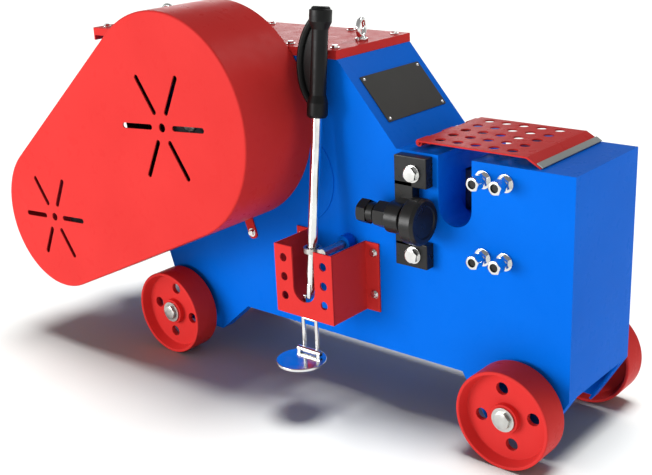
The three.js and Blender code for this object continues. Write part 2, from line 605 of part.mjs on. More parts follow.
function crankParts() {
  const at = [CRANK_AT.x, CRANK_AT.z];
  const throwAt = [CRANK_AT.x - THROW, CRANK_AT.z];
  const shaft = bar("y", SHAFT.crank, 5, WIDTH - 5, at, 12);
  const journal = bar("y", ROD.journal, ROD.from - 1, ROD.to + 1, throwAt, 20);
  add("crankshaft", join(shaft, journal), LOOK.steel);

  const bodyFrom = SLEEVE_FROM + CLUTCH.jaw;
  const groove = [bodyFrom + 4, bodyFrom + 12];
  const sleeve = turned(
    [
      [bore(SHAFT.crank, 16), bodyFrom],
      [CLUTCH.radius, bodyFrom],
      [CLUTCH.radius, groove[0]],
      [CLUTCH.radius - 9, groove[0]],
      [CLUTCH.radius - 9, groove[1]],
      [CLUTCH.radius, groove[1]],
      [CLUTCH.radius, bodyFrom + CLUTCH.body],
      [bore(SHAFT.crank, 16), bodyFrom + CLUTCH.body],
    ],
    16,
    CRANK_AT,
  );
  add("clutch_sleeve", join(sleeve, ...jaws(SLEEVE_FROM, bodyFrom + 1, Math.PI / 4)), LOOK.steel);

  const forkY = [groove[0] + 1, groove[1] - 1];
  const ring = turned(ringProfile(CLUTCH.radius - 7.6, CLUTCH.radius + 12, ...forkY), 16, CRANK_AT);
  const mouth = box(grown([CRANK_AT.x, CRANK_AT.x], 90), grown(forkY, 1), [CRANK_AT.z, CRANK_AT.z + 90]);
  const reach = Math.hypot(SHIFT.x - CRANK_AT.x, SHIFT.z - CRANK_AT.z);
  const arm = new THREE.BoxGeometry(reach - CLUTCH.radius, forkY[1] - forkY[0], 22);
  arm.translate((reach + CLUTCH.radius) / 2, (forkY[0] + forkY[1]) / 2, 0);
  arm.rotateY(Math.atan2(CRANK_AT.z - SHIFT.z, SHIFT.x - CRANK_AT.x));
  arm.translate(CRANK_AT.x, 0, CRANK_AT.z);
  const rod = bar("y", SHIFT.rod, SHIFT.end, forkY[1] + 8, [SHIFT.x, SHIFT.z], 12);
  const knob = bar("y", 14, forkY[0] - 6, forkY[1] + 6, [SHIFT.x, SHIFT.z], 12);
  add("shift_fork", join(cut(ring, mouth), solid(arm), rod, knob, leverLink()), LOOK.steel);

  connectingRod(throwAt);
  ramSlider();
}

// A ring around the lever tube, on an arm from the end of the shift rod.
function leverLink() {
  const y = LEVER.pivotY + (SHIFT.z - LEVER.pivotZ) * Math.tan(THREE.MathUtils.degToRad(LEVER.tilt));
  const at = [LEVER.x, y];
  const [low, high] = grown([SHIFT.z, SHIFT.z], 5);
  const arm = box([LEVER.x + SHIFT.ring + 1, SHIFT.x], grown([y, y], 6), [low, high]);
  const outer = bar("z", SHIFT.ring + 5, low, high, at, 16);
  return cut(join(outer, arm), bar("z", SHIFT.ring, low - 1, high + 1, at, 16));
}

// An upright slot with round ends, as an (x, z) shape about the wrist pin.
function uprightSlot(halfWidth, halfHeight) {
  const shape = new THREE.Shape();
  const z = CRANK_AT.z;
  shape.absarc(RAM_PIN_X, z + halfHeight - halfWidth, halfWidth, 0, Math.PI, false);
  shape.absarc(RAM_PIN_X, z - halfHeight + halfWidth, halfWidth, Math.PI, 2 * Math.PI, false);
  return shape;
}

// The rod stays level as the crank turns, so its small eye is an upright slot: it clears the
// wrist pin by the throw up and down, and sideways by what an even stroke differs from a sine.
function connectingRod(throwAt) {
  const z = CRANK_AT.z;
  const y = [ROD.from, ROD.to];
  const sideways = ROD.pin + 6;
  const upward = ROD.pin + THROW + 1;
  const bigEnd = bar("y", ROD.eye, ...y, throwAt, 20);
  const smallEnd = alongY(uprightSlot(sideways + ROD.wall, upward + ROD.wall), ...y, 4);
  const shank = box([throwAt[0], RAM_PIN_X - sideways - 1], grown(y, -4), grown([z, z], 26));
  const bigBore = bar("y", bore(ROD.journal, 20), ...grown(y, 1), throwAt, 20);
  const smallBore = alongY(uprightSlot(sideways, upward), ...grown(y, 1), 4);
  add("connecting_rod", cut(join(bigEnd, smallEnd, shank), bigBore, smallBore), LOOK.cast);
}

function ramSlider() {
  const block = box([RAM.back, RAM.front], RAM.y, RAM.z);
  const clevis = box([RAM.back - 1, RAM_PIN_X + 56], [ROD.from - 1, ROD.to + 1], grown(RAM.z, 1));
  const pinHole = bar("y", ROD.pin + GAP, ...grown(RAM.y, 1), [RAM_PIN_X, CRANK_AT.z], 12);
  const { x, y } = MOVING_BLADE;
  const seat = box([x[0] - GAP, RAM.front + 1], grown(y, GAP), grown(BLADE_Z, GAP));
  const backing = box([x[0] - 3, x[1] - 30], [y[1] + GAP, y[1] + 26], RAM.z);
  add("ram_slider", cut(join(block, backing), clevis, pinHole, seat), LOOK.steel);
  add("moving_blade", box(x, y, BLADE_Z), LOOK.cast);
  add("fixed_blade", box(FIXED_BLADE.x, FIXED_BLADE.y, BLADE_Z), LOOK.cast);
  const wristPin = bar("y", ROD.pin, ...grown(RAM.y, -4), [RAM_PIN_X, CRANK_AT.z], 12);
  add("wrist_pin", wristPin, LOOK.steel);
}

function bearings() {
  for (const { name, at, shaft, outer } of BEARINGS) {
    for (const [side, span] of Object.entries(BEARING_SPAN)) {
      const ring = ringProfile(bore(shaft, BEARING_SIDES), outer, ...span);
      add(`${name}_${side}`, turned(ring, BEARING_SIDES, at), LOOK.steel);
    }
  }
  add("crank_cover", bar("y", 99, -1.9, -GAP, [CRANK_AT.x, CRANK_AT.z], 24), LOOK.blue);
}

// ---------------------------------------------------------------- blade studs and bar rest
const REST_BOLT_X = -317;
const REST_BOLT_Z = [REST.high - 31, REST.low + 25];

function bladeStuds() {
  STUD_AT.forEach((at, i) => {
    const washer = bar("y", 13.5, -3, -GAP, at, 12);
    const nuts = hexagon("y", 10.8, -37, -2, at);
    const stud = bar("y", 6, -38, 24, at, 8);
    add(`blade_stud_${i + 1}`, join(washer, nuts, stud), LOOK.chrome);
  });
}

function barRest() {
  const y = [-REST.thick, -GAP];
  const x = [REST.left, REST.right];
  const lug = { left: -343, right: -312 };
  const upper = box(x, y, [REST.high - REST.pad, REST.high]);
  const lower = box(x, y, [REST.low, REST.low + 48]);
  const web = box([REST.left, REST.web], y, [REST.low + 40, REST.high - REST.pad + 10]);
  const ear = join(
    bar("x", 30, lug.left, lug.right, [SCREW.y, SCREW.z], 16),
    box([lug.left, lug.right], [SCREW.y, y[1]], [SCREW.z - 30, SCREW.z + 30]),
  );
  const holes = [
    bar("x", 12 + GAP, -400, -250, [SCREW.y, SCREW.z], 12),
    ...REST_BOLT_Z.map((z) => bar("y", 7 + GAP, -30, 5, [REST_BOLT_X, z], 8)),
  ];
  add("rest_bracket", cut(join(upper, lower, web, ear), ...holes), LOOK.black);

  const at = [SCREW.y, SCREW.z];
  const disc = bar("x", SCREW.disc, SCREW.face - SCREW.thick, SCREW.face, at, 24);
  const stem = bar("x", 12, -400, SCREW.face - SCREW.thick + 2, at, 12);
  const head = hexagon("x", 20, -414, -379, at);
  add("rest_screw", join(disc, stem, head), LOOK.black);
  const nut = hexagon("x", 26, -374, lug.left - GAP, at);
  add("rest_locknut", cut(nut, bar("x", 12 + GAP, -380, -340, at, 12)), LOOK.black);

  REST_BOLT_Z.forEach((z, i) => {
    const place = [REST_BOLT_X, z];
    const front = -REST.thick;
    const washer = bar("y", 12.5, front - 2.5, front - GAP, place, 12);
    const head = hexagon("y", 11, front - 11, front - 2, place);
    const shank = bar("y", 7, front - 3, 22, place, 8);
    add(["rest_bolt_upper", "rest_bolt_lower"][i], join(washer, head, shank), LOOK.chrome);
  });
}

// ---------------------------------------------------------------- safety cover
function safetyCover() {
  const { left, bend, edge, near, far, top, sheet } = COVER;
  const low = HEAD_TOP + 1;
  const profile = outline([
    [left, top - sheet],
    [bend, top - sheet],
    [edge, low],
    [edge + sheet, low],
    [bend + 1, top],
    [left, top],
  ]);
  const y = [near, far];
  const holes = [];
  const half = (COVER_HOLES.rows - 1) / 2;
  for (let i = -half; i <= half; i += 1) {
    for (let j = -half; j <= half; j += 1) {
      const at = [COVER_HOLES.x + i * COVER_HOLES.pitchX, COVER_HOLES.y + j * COVER_HOLES.pitchY];
      holes.push(bar("z", COVER_HOLES.radius, top - sheet - 1, top + 1, at, 6));
    }
  }
  const lug = outline([[left + 4, top - 1], [HINGE.x, top - 0.5], [HINGE.x - 4, HINGE.z + 3],
    [HINGE.x, HINGE.z - 3], [left + 4, top - sheet]]);
  const knuckles = [];
  const clear = [];
  for (const [from, to] of HINGE_SPANS.cover) {
    knuckles.push(bar("y", HINGE.knuckle, from, to, [HINGE.x, HINGE.z], 10), alongY(lug, from, to));
    clear.push(bar("y", HINGE.pin + 0.6, from - 1, to + 1, [HINGE.x, HINGE.z], 8));
  }
  add("safety_cover", cut(join(alongY(profile, ...y), ...knuckles), ...holes, ...clear), LOOK.red);

  const foot = new THREE.Vector2(edge + sheet, low);
  const crown = new THREE.Vector2(bend + 1, top);
  const outward = new THREE.Vector2(top - low, foot.x - crown.x).normalize();
  const corner = (from, out) => from.clone().addScaledVector(outward, out);
  const strip = new THREE.Shape([
    corner(foot, GAP),
    corner(foot, sheet),
    corner(crown, sheet),
    corner(crown, GAP),
  ]);
  add("cover_edge_strip", alongY(strip, near + 0.5, far - 0.5), LOOK.grey);
}

const HINGE_SPANS = {
  cover: [[24, 54], [106, 136], [188, 218]],
  leaf: [[54.6, 72], [88, 105.4], [136.6, 154], [170, 187.4]],
};

function coverHinge() {
  const floor = HEAD_TOP + GAP;
  const y = [HINGE.open, HINGE.close];
  const leaf = box([-360, HINGE.x - HINGE.knuckle - 3], y, [floor, floor + 3]);
  const base = box([-352, HINGE.x + 4], y, [floor, floor + 1.7]);
  const foot = outline([
    [-348, floor + 1],
    [HINGE.x + 4, floor + 1],
    [HINGE.x + 4, HINGE.z],
    [-340, HINGE.z],
  ]);
  const stands = HINGE_SPANS.leaf.flatMap(([from, to]) => [
    bar("y", HINGE.leaf, from, to, [HINGE.x, HINGE.z], 10),
    alongY(foot, from, to),
  ]);
  const pin = bar("y", HINGE.pin, 20, 222, [HINGE.x, HINGE.z], 8);
  add("cover_hinge", join(leaf, base, pin, ...stands), LOOK.red);
}

// ---------------------------------------------------------------- lever, bracket and pedal
function leverBracket() {
  const { wide, front, low, high, sheet, flange } = BRACKET;
  const left = LEVER.x - wide / 2;
  const right = LEVER.x + wide / 2;
  const face = box([left, right], [front, front + sheet], [low, high]);
  const z = [low, high];
  const sides = [[left, left + sheet], [right - sheet, right]].map((x) => box(x, [front, -GAP], z));
  const feet = [[left - flange, left + 1], [right - 1, right + flange]];
  const flanges = feet.map((x) => box(x, [-sheet, -GAP], z));
  const slot = new THREE.Shape();
  slot.moveTo(LEVER.x + 27.5, high + 1);
  slot.lineTo(LEVER.x - 27.5, high + 1);
  slot.absarc(LEVER.x, low + 60, 27.5, Math.PI, 2 * Math.PI, false);
  const cuts = [alongY(slot, front - 1, front + sheet + 1, 10)];
  for (let i = 0; i < 3; i += 1) {
    for (const side of [-1, 1]) {
      const at = [LEVER.x + side * 50, low + 37 + 39.5 * i];
      cuts.push(bar("y", 8.5, front - 1, front + sheet + 1, at, 10));
    }
  }
  for (const x of [left - flange + 12, right + flange - 12]) {
    for (const z of [low + 36, high - 20]) cuts.push(bar("y", 4.5, -9, 5, [x, z], 6));
  }
  const pinAt = [LEVER.pivotY, LEVER.pivotZ];
  cuts.push(bar("x", LEVER.pin + GAP, left - 1, right + 1, pinAt, 12));
  add("lever_bracket", cut(join(face, ...sides, ...flanges), ...cuts), LOOK.red);
  add("lever_pivot_pin", bar("x", LEVER.pin, left + 0.5, right - 0.5, pinAt, 12), LOOK.steel);
}

// The lever's own frame: origin on the pivot, +Z up the tube, tilted back to the machine.
function leverParts() {
  const frame = new THREE.Group();
  frame.position.set(LEVER.x, LEVER.pivotY, LEVER.pivotZ);
  frame.rotation.x = -THREE.MathUtils.degToRad(LEVER.tilt);
  machine.add(frame);

  const top = TUBE.high + GRIP.length - GRIP.cap - 2;
  const tubeProfile = [
    [0, TUBE.low],
    [TUBE.tip, TUBE.low],
    [TUBE.radius, TUBE.taper],
    [TUBE.radius, top],
    [0, top],
  ];
  const flat = box([-5, 5], [-9, 9], [TUBE.low - 12, TUBE.low + 20]);
  add("lever_tube", join(turnedUp(tubeProfile, 16), flat), LOOK.chrome, frame);

  const start = TUBE.high;
  const end = start + GRIP.length;
  const gripProfile = [
    [0, start],
    [GRIP.radius - 2, start],
    [GRIP.radius, start + 6],
    [GRIP.radius - 1, start + 60],
    [GRIP.radius - 1, end - 34],
    [GRIP.radius + 1.5, end - 22],
    [GRIP.radius + 1.5, end - 5],
    [GRIP.radius - 3, end],
    [0, end],
  ];
  const bulk = join(turnedUp(gripProfile, 16), handGuard(start));
  const socket = bar("z", TUBE.radius + GAP, start - 1, end - GRIP.cap, [0, 0], 16);
  add("lever_grip", cut(bulk, socket), LOOK.black, frame);

  forkAndPedal();
}

// A (radius, z) profile turned about the Z axis.
function turnedUp(profile, sides) {
  const points = profile.map(([r, z]) => new THREE.Vector2(r, z));
  return solid(new THREE.LatheGeometry(points, sides).rotateX(TURN_TO_Y));
}

// The bulge along the grip's left side, round in section.
function handGuard(start) {
  const guard = new THREE.Shape();
  guard.moveTo(-8, start + 30);
  guard.bezierCurveTo(-44, start + 60, -42, start + 150, -10, start + 182);
  const depth = 22;
  const plate = extruded(guard, depth, 8).rotateX(TURN_TO_Y).translate(0, depth / 2, 0);
  return solid(plate);
}

function forkAndPedal() {
  const { x } = LEVER;
  const y = LEVER.pivotY;
  const low = PEDAL.z + PEDAL.thick + 6;
  const bars = [-1, 1].map((side) =>
    bar("z", 4, low, LEVER.pivotZ - 8, [x + side * PEDAL.spread, y - 5], 8));
  const eyes = [-1, 1].map((side) =>
    bar("x", 13, ...grown([x + side * PEDAL.spread, x + side * PEDAL.spread], 5), [y, LEVER.pivotZ], 12));
  const bridge = box([x - 22, x + 22], [y - 12, y - 6.6], grown([LEVER.pivotZ, LEVER.pivotZ], 10));
  const cross = bar("x", 3.5, x - PEDAL.spread, x + PEDAL.spread, [y - 5, 198], 8);
  const barrel = bar("x", 5.5, x - 19.6, x + 19.6, [PEDAL.hinge, low + 1], 12);
  const arms = [-1, 1].map((side) => {
    const across = grown([x + side * PEDAL.spread, x + side * PEDAL.spread], 3);
    return box(across, [PEDAL.hinge, y - 3], [low - 1, low + 7]);
  });
  const pivotHole = bar("x", LEVER.pin + GAP, x - 60, x + 60, [y, LEVER.pivotZ], 12);
  const pinHole = bar("x", 2.6, x - 60, x + 60, [PEDAL.hinge, low + 1], 10);
  const frame = join(bridge, cross, barrel, ...bars, ...eyes, ...arms, tongue(x, y));
  add("pedal_fork", cut(frame, pivotHole, pinHole), LOOK.chrome);

  const disc = bar("z", PEDAL.radius, PEDAL.z, PEDAL.z + PEDAL.thick, [x, PEDAL.y], 24);
  const knuckles = [[-29, -20.9], [20.9, 29]].map(([from, to]) =>
    join(
      bar("x", 5.5, x + from, x + to, [PEDAL.hinge, low + 1], 12),
      box([x + from, x + to], [PEDAL.hinge - 5, PEDAL.hinge + 5], [PEDAL.z + 3, low]),
    ));
  const pin = bar("x", 2.2, x - 29, x + 29, [PEDAL.hinge, low + 1], 10);
  add("pedal_disc", join(disc, pin, ...knuckles), LOOK.chrome);
}

// A short tongue that carries the tube's flattened end.
function tongue(x, y) {
  return box([x - 12, x - 5 - GAP], [y - 8, y + 9], [LEVER.pivotZ + 6, LEVER.pivotZ + 26]);
}

// ---------------------------------------------------------------- wheels
// The wheels stand on a flat of their many-sided rim, which touches the true circle.
const WHEEL_SIDES = 20;
const WHEEL_CORNER = WHEEL.radius / Math.cos(Math.PI / WHEEL_SIDES);

function wheelsAndAxles() {
  const nearFace = -WHEEL.outer;
  const rim = 7;
  const web = 22;
  const profile = (face, inward) => {
    const y = (d) => face + inward * d;
    return [
      [bore(WHEEL.axle, WHEEL_SIDES), y(10)],
      [28, y(10)],
      [28, y(web)],
      [82, y(web)],
      [WHEEL_CORNER - rim, y(0)],
      [WHEEL_CORNER, y(0)],
      [WHEEL_CORNER, y(WHEEL.wide)],
      [WHEEL_CORNER - rim, y(WHEEL.wide)],
      [82, y(web + 10)],
      [28, y(web + 10)],
      [28, y(WHEEL.wide - 3)],
      [bore(WHEEL.axle, WHEEL_SIDES), y(WHEEL.wide - 3)],
    ];
  };
  const names = ["left", "right"];
  AXLE_X.forEach((x, i) => {
    const at = { x, z: WHEEL.radius };
    for (const [side, face, inward] of [["near", nearFace, 1], ["far", WIDTH + WHEEL.outer, -1]]) {
      const holes = [];
      for (let k = 0; k < 4; k += 1) {
        const angle = THREE.MathUtils.degToRad(11.3 + 90 * k);
        const place = [x + WHEEL.ring * Math.cos(angle), at.z + WHEEL.ring * Math.sin(angle)];
        const centre = face + inward * (web + 5);
        holes.push(bar("y", WHEEL.hole, centre - 8, centre + 8, place, 6));
      }
      const dish = turned(profile(face, inward), WHEEL_SIDES, at, Math.PI / WHEEL_SIDES);
      add(`${side}_${names[i]}_wheel`, cut(dish, ...holes), LOOK.red);
    }
    axle(`${names[i]}_axle`, at);
  });
}

// A through axle with a washer and a hexagon head at each end.
function axle(name, { x, z }) {
  const at = [x, z];
  const near = -WHEEL.outer + 10 - GAP;
  const far = WIDTH + WHEEL.outer - 10 + GAP;
  const pieces = [bar("y", WHEEL.axle, near - 2, far + 2, at, 12)];
  for (const [from, out] of [[near, -1], [far, 1]]) {
    const span = (a, b) => [from + out * a, from + out * b].sort((p, q) => p - q);
    pieces.push(bar("y", 23, ...span(0, 3), at, 12), hexagon("y", 17, ...span(2, 9.5), at));
  }
  add(name, join(...pieces), LOOK.chrome);
}

// ---------------------------------------------------------------- assembly
mainHousing();
headBlock();
topLid();
eyeBolts();
nameplate();
beltGuard();
motorParts();
pulleysAndBelts();
gearTrain();
crankParts();
bearings();
bladeStuds();
barRest();
safetyCover();
coverHinge();
leverBracket();
leverParts();
wheelsAndAxles();

export default machine;
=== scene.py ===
"""The looks of a rebar cutter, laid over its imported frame.

Pieces are made in the machine's own axes, in millimetres: x = 0 is the housing's end face,
y = 0 its operator face and z = 0 the floor. +X runs to the cutting head, -Y to the operator.
"""

import json
import math

import bmesh
import bpy
from mathutils import Matrix, Vector

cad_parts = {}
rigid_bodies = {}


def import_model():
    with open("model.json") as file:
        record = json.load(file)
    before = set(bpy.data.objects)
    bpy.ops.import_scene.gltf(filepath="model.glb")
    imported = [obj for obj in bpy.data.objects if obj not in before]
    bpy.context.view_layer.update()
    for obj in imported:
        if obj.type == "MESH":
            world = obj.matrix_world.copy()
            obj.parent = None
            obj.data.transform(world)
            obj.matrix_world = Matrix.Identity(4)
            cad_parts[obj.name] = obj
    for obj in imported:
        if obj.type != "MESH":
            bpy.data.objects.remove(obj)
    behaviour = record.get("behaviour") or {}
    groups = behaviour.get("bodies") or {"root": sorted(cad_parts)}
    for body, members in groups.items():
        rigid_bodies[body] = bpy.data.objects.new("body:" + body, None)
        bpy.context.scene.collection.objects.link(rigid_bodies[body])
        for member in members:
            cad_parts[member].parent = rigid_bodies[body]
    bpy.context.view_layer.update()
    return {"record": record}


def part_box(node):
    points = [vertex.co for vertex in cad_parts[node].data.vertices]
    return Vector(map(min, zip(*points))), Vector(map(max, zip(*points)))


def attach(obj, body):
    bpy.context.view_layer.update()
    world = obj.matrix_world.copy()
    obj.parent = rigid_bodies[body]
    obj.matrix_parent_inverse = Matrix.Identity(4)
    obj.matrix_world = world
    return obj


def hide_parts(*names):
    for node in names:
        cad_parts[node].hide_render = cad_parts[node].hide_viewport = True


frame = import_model()

# -------- dimensions, millimetres
MM = 0.001
WIDTH = 232
GAP = 0.3  # between a fitted part and the face that it stands on
ORIGIN = Vector((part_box("main_housing")[1][0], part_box("main_housing")[1][1] - WIDTH * MM, 0))
TO_FRAME = Matrix.Translation(ORIGIN) @ Matrix.Scale(MM, 4)
SMOOTH = 96  # steps around a large turned form
# A hexagon's crown and bare face as shares of its half width, and its chamfer's slope.
HEX = {"crown": 0.93, "face": 0.3, "chamfer": 0.6, "steps": 48}

# CAD nodes that keep their shape: node, look, edge radius.
SKINS = [
    ("main_housing", "blue_paint", 1.4),
    ("top_lid", "red_paint", 1.0),
    ("motor_housing", "blue_paint", 0.8),
    ("motor_fan_cowl", "blue_paint", 0.6),
    ("motor_terminal_box", "blue_paint", 1.6),
    ("motor_plate", "blue_paint", 1.0),
    ("cover_hinge", "red_paint", 0.4),
]
# A box around what is left out of a node's skin: here the plate low between the right feet.
LEFT_OUT = {"main_housing": ((-161, 11, 41), (-59, 221, 49))}
SKIN_ANGLES = {"flat": 0.8, "hard": 38}

FLYWHEEL = Vector((-793, 567.5))
MOTOR = Vector((-1184, 316.5))
GUARD = {"front": -186.5, "back": -2.3, "big": 226, "small": 164.5, "sheet": 3, "bend": 4, "hem": 0.6}
GUARD_TAB = {"x": -747.5, "low": 294, "high": 352, "wide": 24, "lean": 20, "corner": 11}
GUARD_BOLT = {"z": 308, "size": (9.5, 7, 5)}  # a bolt's size is its washer, hexagon and height
STARS = [(FLYWHEEL, 35, 113), (MOTOR, 35, 98)]
STAR = {"slots": 6, "turn": 4, "hole": 9, "half": 5.5}

WHEEL = {
    "radius": 94.3, "wide": 60.2, "rim": 6.3, "dish": 82, "hub": 28, "bore": 15.4,
    "web": 22, "thick": 10, "fillet": 5, "hub_front": 10, "hub_back": 3,
}
WHEEL_HOLES = {"count": 4, "radius": 12, "ring": 53.8, "left": -8, "right": 11.3}
AXLE = {"radius": 15, "inset": 8, "washer": (23, 3), "head": (17, 6.5), "turn": 0.3}

BRACKET = {"left": -587, "right": -442, "front": -108, "low": 205, "high": 347, "sheet": 4}
BRACKET_SLOT = {"x": -514.5, "half": 27.5, "bottom": 265}
BRACKET_HOLES = {"side": 50, "up": 37, "pitch": 39.5, "rows": 3, "radius": 8.5}
FLANGE = {"out": 32, "bolt_in": 12, "bolts": (241, 327), "size": (9, 6.6, 5)}

LEVER = {"x": -514.5, "y": -90.5, "z": 222, "tilt": 7}
TUBE = {"taper": [(29, 7), (34, 7.6), (70, 10.5)], "in_grip": 30, "tongue": ((-5, -9, 17.5), (5, 9, 49))}
# The grip's (height, radius) profile, from its foot up and from its top down.
GRIP = {
    "from": 372, "length": 205,
    "foot": [(0, 11), (0, 17), (5, 20), (28, 20), (42, 15.5)],
    "cap": [(-42, 15.5), (-28, 21.5), (-6, 21.5), (-5, 18), (-2, 17.5), (0, 15), (0, 0)],
}
FINGER_GUARD = {
    "curve": [(-6, 22), (-57, 56), (-53, 150), (-8, 186)],  # x, height above the grip's foot
    "radius": 7.5, "flat": 1.6, "half_sheet": 3, "steps": 28,
}
FORK = {"spread": 16.5, "y": -95.5, "low": 131, "high": 214, "rod": 4, "bar": 198, "bar_radius": 3.5}
FORK_EYE = {"half": 5, "radius": 13, "bore": 6.3}
# The fork's plate and its tongue, from the lever's pivot.
YOKE = [((-22, -12, -10), (22, -6.6, 10)), ((-12, -8, 6), (-5.3, 9, 26))]
PEDAL = {"y": -125.5, "z": 119, "radius": 49.5, "thick": 6, "hinge": (-100, 132)}
BARREL = {"half": 19.6, "radius": 5.5, "bore": 2.6, "pin": 2.2, "knuckles": (20.9, 29)}

COVER = {"left": -327, "bend": -101, "tip": (-71.5, 542.5), "near": 13, "far": 229, "top": 558.6}
COVER_HOLES = {"rows": 5, "pitch": (37.8, 42), "centre": (-218, 123), "radius": 10, "sheet": 3}
LIP = {"share": 0.4, "thick": 2.2, "foot": (1.8, -0.2), "crown": (2.5, 0.4)}
HINGE = {"x": -331, "z": 551, "radius": 7, "bore": 3.6}
HINGE_SCREWS = {"x": -351, "z": 544.3, "rows": (63.3, 96.7, 145.3, 178.7), "size": (5.2, 4, 2.8)}
KNUCKLES = [(24, 54), (106, 136), (188, 218)]

REST = {"left": -355, "right": -284, "web": -314, "low": 325, "high": 537, "front": -22}
REST_PADS = {"low": 48, "high": 57, "lap": (8, 10)}
EAR = {"x": -343, "long": 31, "radius": 30, "bore": 12.4}
SCREW = {"y": -46, "z": 427, "disc": 43.5, "face": -270, "thick": 33, "radius": 12}
THREAD = {"start": -400, "pitch": 2.4, "turns": 42, "root": 10.8, "tip": 10}
SCREW_HEAD = {"x": -392, "corner": 24, "long": 22, "neck": [(0, 20), (13, 18), (13, 0)]}
LOCKNUT = {"corner": 26, "long": 30.7, "bore": 12.3, "collar": (25, 0.6)}
REST_BOLT = {"x": -314, "washer": (16.5, 2.4), "head": (14.5, 9), "turn": 0.2}
REST_BOLT_Z = {"rest_bolt_upper": 506, "rest_bolt_lower": 350}

STUDS = [(-177.6, 510.4), (-132.8, 510.4), (-177.6, 366.6), (-132.8, 366.6)]
STUD = {"washer": (16.5, 2.6), "corner": 13.6, "bore": 8, "nut": 13, "gap": 0.5, "sleeve": 21.2}
STUD_TURN = 0.35
STUD_END = [(-34.5, 0), (-34.5, 6.6), (-33.4, 7.8), (-0.5, 7.8), (-0.5, 0)]

RAM_NOSE = {"back": -299.8, "front": -273, "low": 414.5, "high": 493.5}
RAM_NOSE_SIDES = [(76.5, 91.2), (116.2, 155.5)]
FEET = {"wall": 12, "return": 20, "sheet": 5}
# Each foot's sloped edge by its two ends, and a point inside the foot.
FOOT_SLOPES = [
    ((-864, 56), (-780, 129), (-920, 90)),
    ((-222, 129), (-161, 33), (-109, 80)),
    ((-57, 33), (0, 129), (-109, 80)),
]

LID_TOP = 711.3
LID_BOLTS = {"first": -520, "pitch": 111.7, "count": 7, "rows": (22, 210), "size": (9, 6.6, 4.4)}
EYE = {"radius": 17, "wire": 4.8, "up": 24}
EYE_TURNS = {"eye_bolt_right": 107, "eye_bolt_left": 0}
EYE_STEM = [(0.3, 0), (0.3, 13), (4.6, 13), (6, 9), (9, 7), (10, 0)]
SLOPE = {"foot": Vector((-365, 541)), "top": Vector((-498, 694))}
PLATE = {"wide": 188, "high": 103, "thick": 2, "up": 104, "mid": 119, "inset": (6.5, 8.3)}
RIVET = [(0, 3.4), (0.8, 3.1), (1.5, 2.2), (1.9, 0)]
CRANK_COVER = {"radius": 99, "thick": 1.6}


# -------- building forms
def circle(x, y, radius, steps=SMOOTH):
    turns = [2 * math.pi * i / steps for i in range(steps)]
    return [Vector((x + radius * math.cos(a), y + radius * math.sin(a))) for a in turns]


def arc(centre, radius, start, end, steps):
    turns = [start + (end - start) * i / steps for i in range(steps + 1)]
    return [centre + radius * Vector((math.cos(a), math.sin(a))) for a in turns]


def rounded(points, radius, closed=True, steps=4):
    """The same outline with its corners blended by arcs as large as their sides allow."""
    points = [Vector(p) for p in points]
    out = []
    for i, here in enumerate(points):
        before = points[i - 1] - here
        after = points[(i + 1) % len(points)] - here
        is_end = not closed and i in (0, len(points) - 1)
        if is_end or math.pi - before.angle(after) < 0.1:
            out.append(here)
            continue
        reach = radius / math.tan(before.angle(after) / 2)
        reach = min(reach, before.length * 0.48, after.length * 0.48)
        start = here + before.normalized() * reach
        end = here + after.normalized() * reach
        for k in range(steps + 1):
            t = k / steps
            out.append(start * (1 - t) ** 2 + here * 2 * t * (1 - t) + end * t**2)
    return out


def offset(points, by):
    """A counter-clockwise outline moved outward, mitred at its corners."""
    out = []
    for i, here in enumerate(points):
        before = (here - points[i - 1]).normalized()
        after = (points[(i + 1) % len(points)] - here).normalized()
        side = Vector((before.y, -before.x))
        mitre = side + Vector((after.y, -after.x))
        out.append(here + mitre * by / max(0.3, mitre.dot(side)))
    return out


def along_y(a, b, depth):
    return Vector((a, depth, b))


def along_z(a, b, depth):
    return Vector((a, b, depth))


def sleeve(start, end, radius, bore=0):
    """The turned profile of a disc, or of a sleeve with a bore."""
    return [(start, bore), (start, radius), (end, radius), (end, bore)]


def span(node):
    """A CAD node's lowest and highest corners, in machine millimetres."""
    low, high = (Vector(v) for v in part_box(node))
    return (low - ORIGIN) / MM, (high - ORIGIN) / MM


def middle(node):
    """The middle of a CAD node's box, in machine millimetres."""
    low, high = (Vector(v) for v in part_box(node))
    return ((low + high) / 2 - ORIGIN) / MM


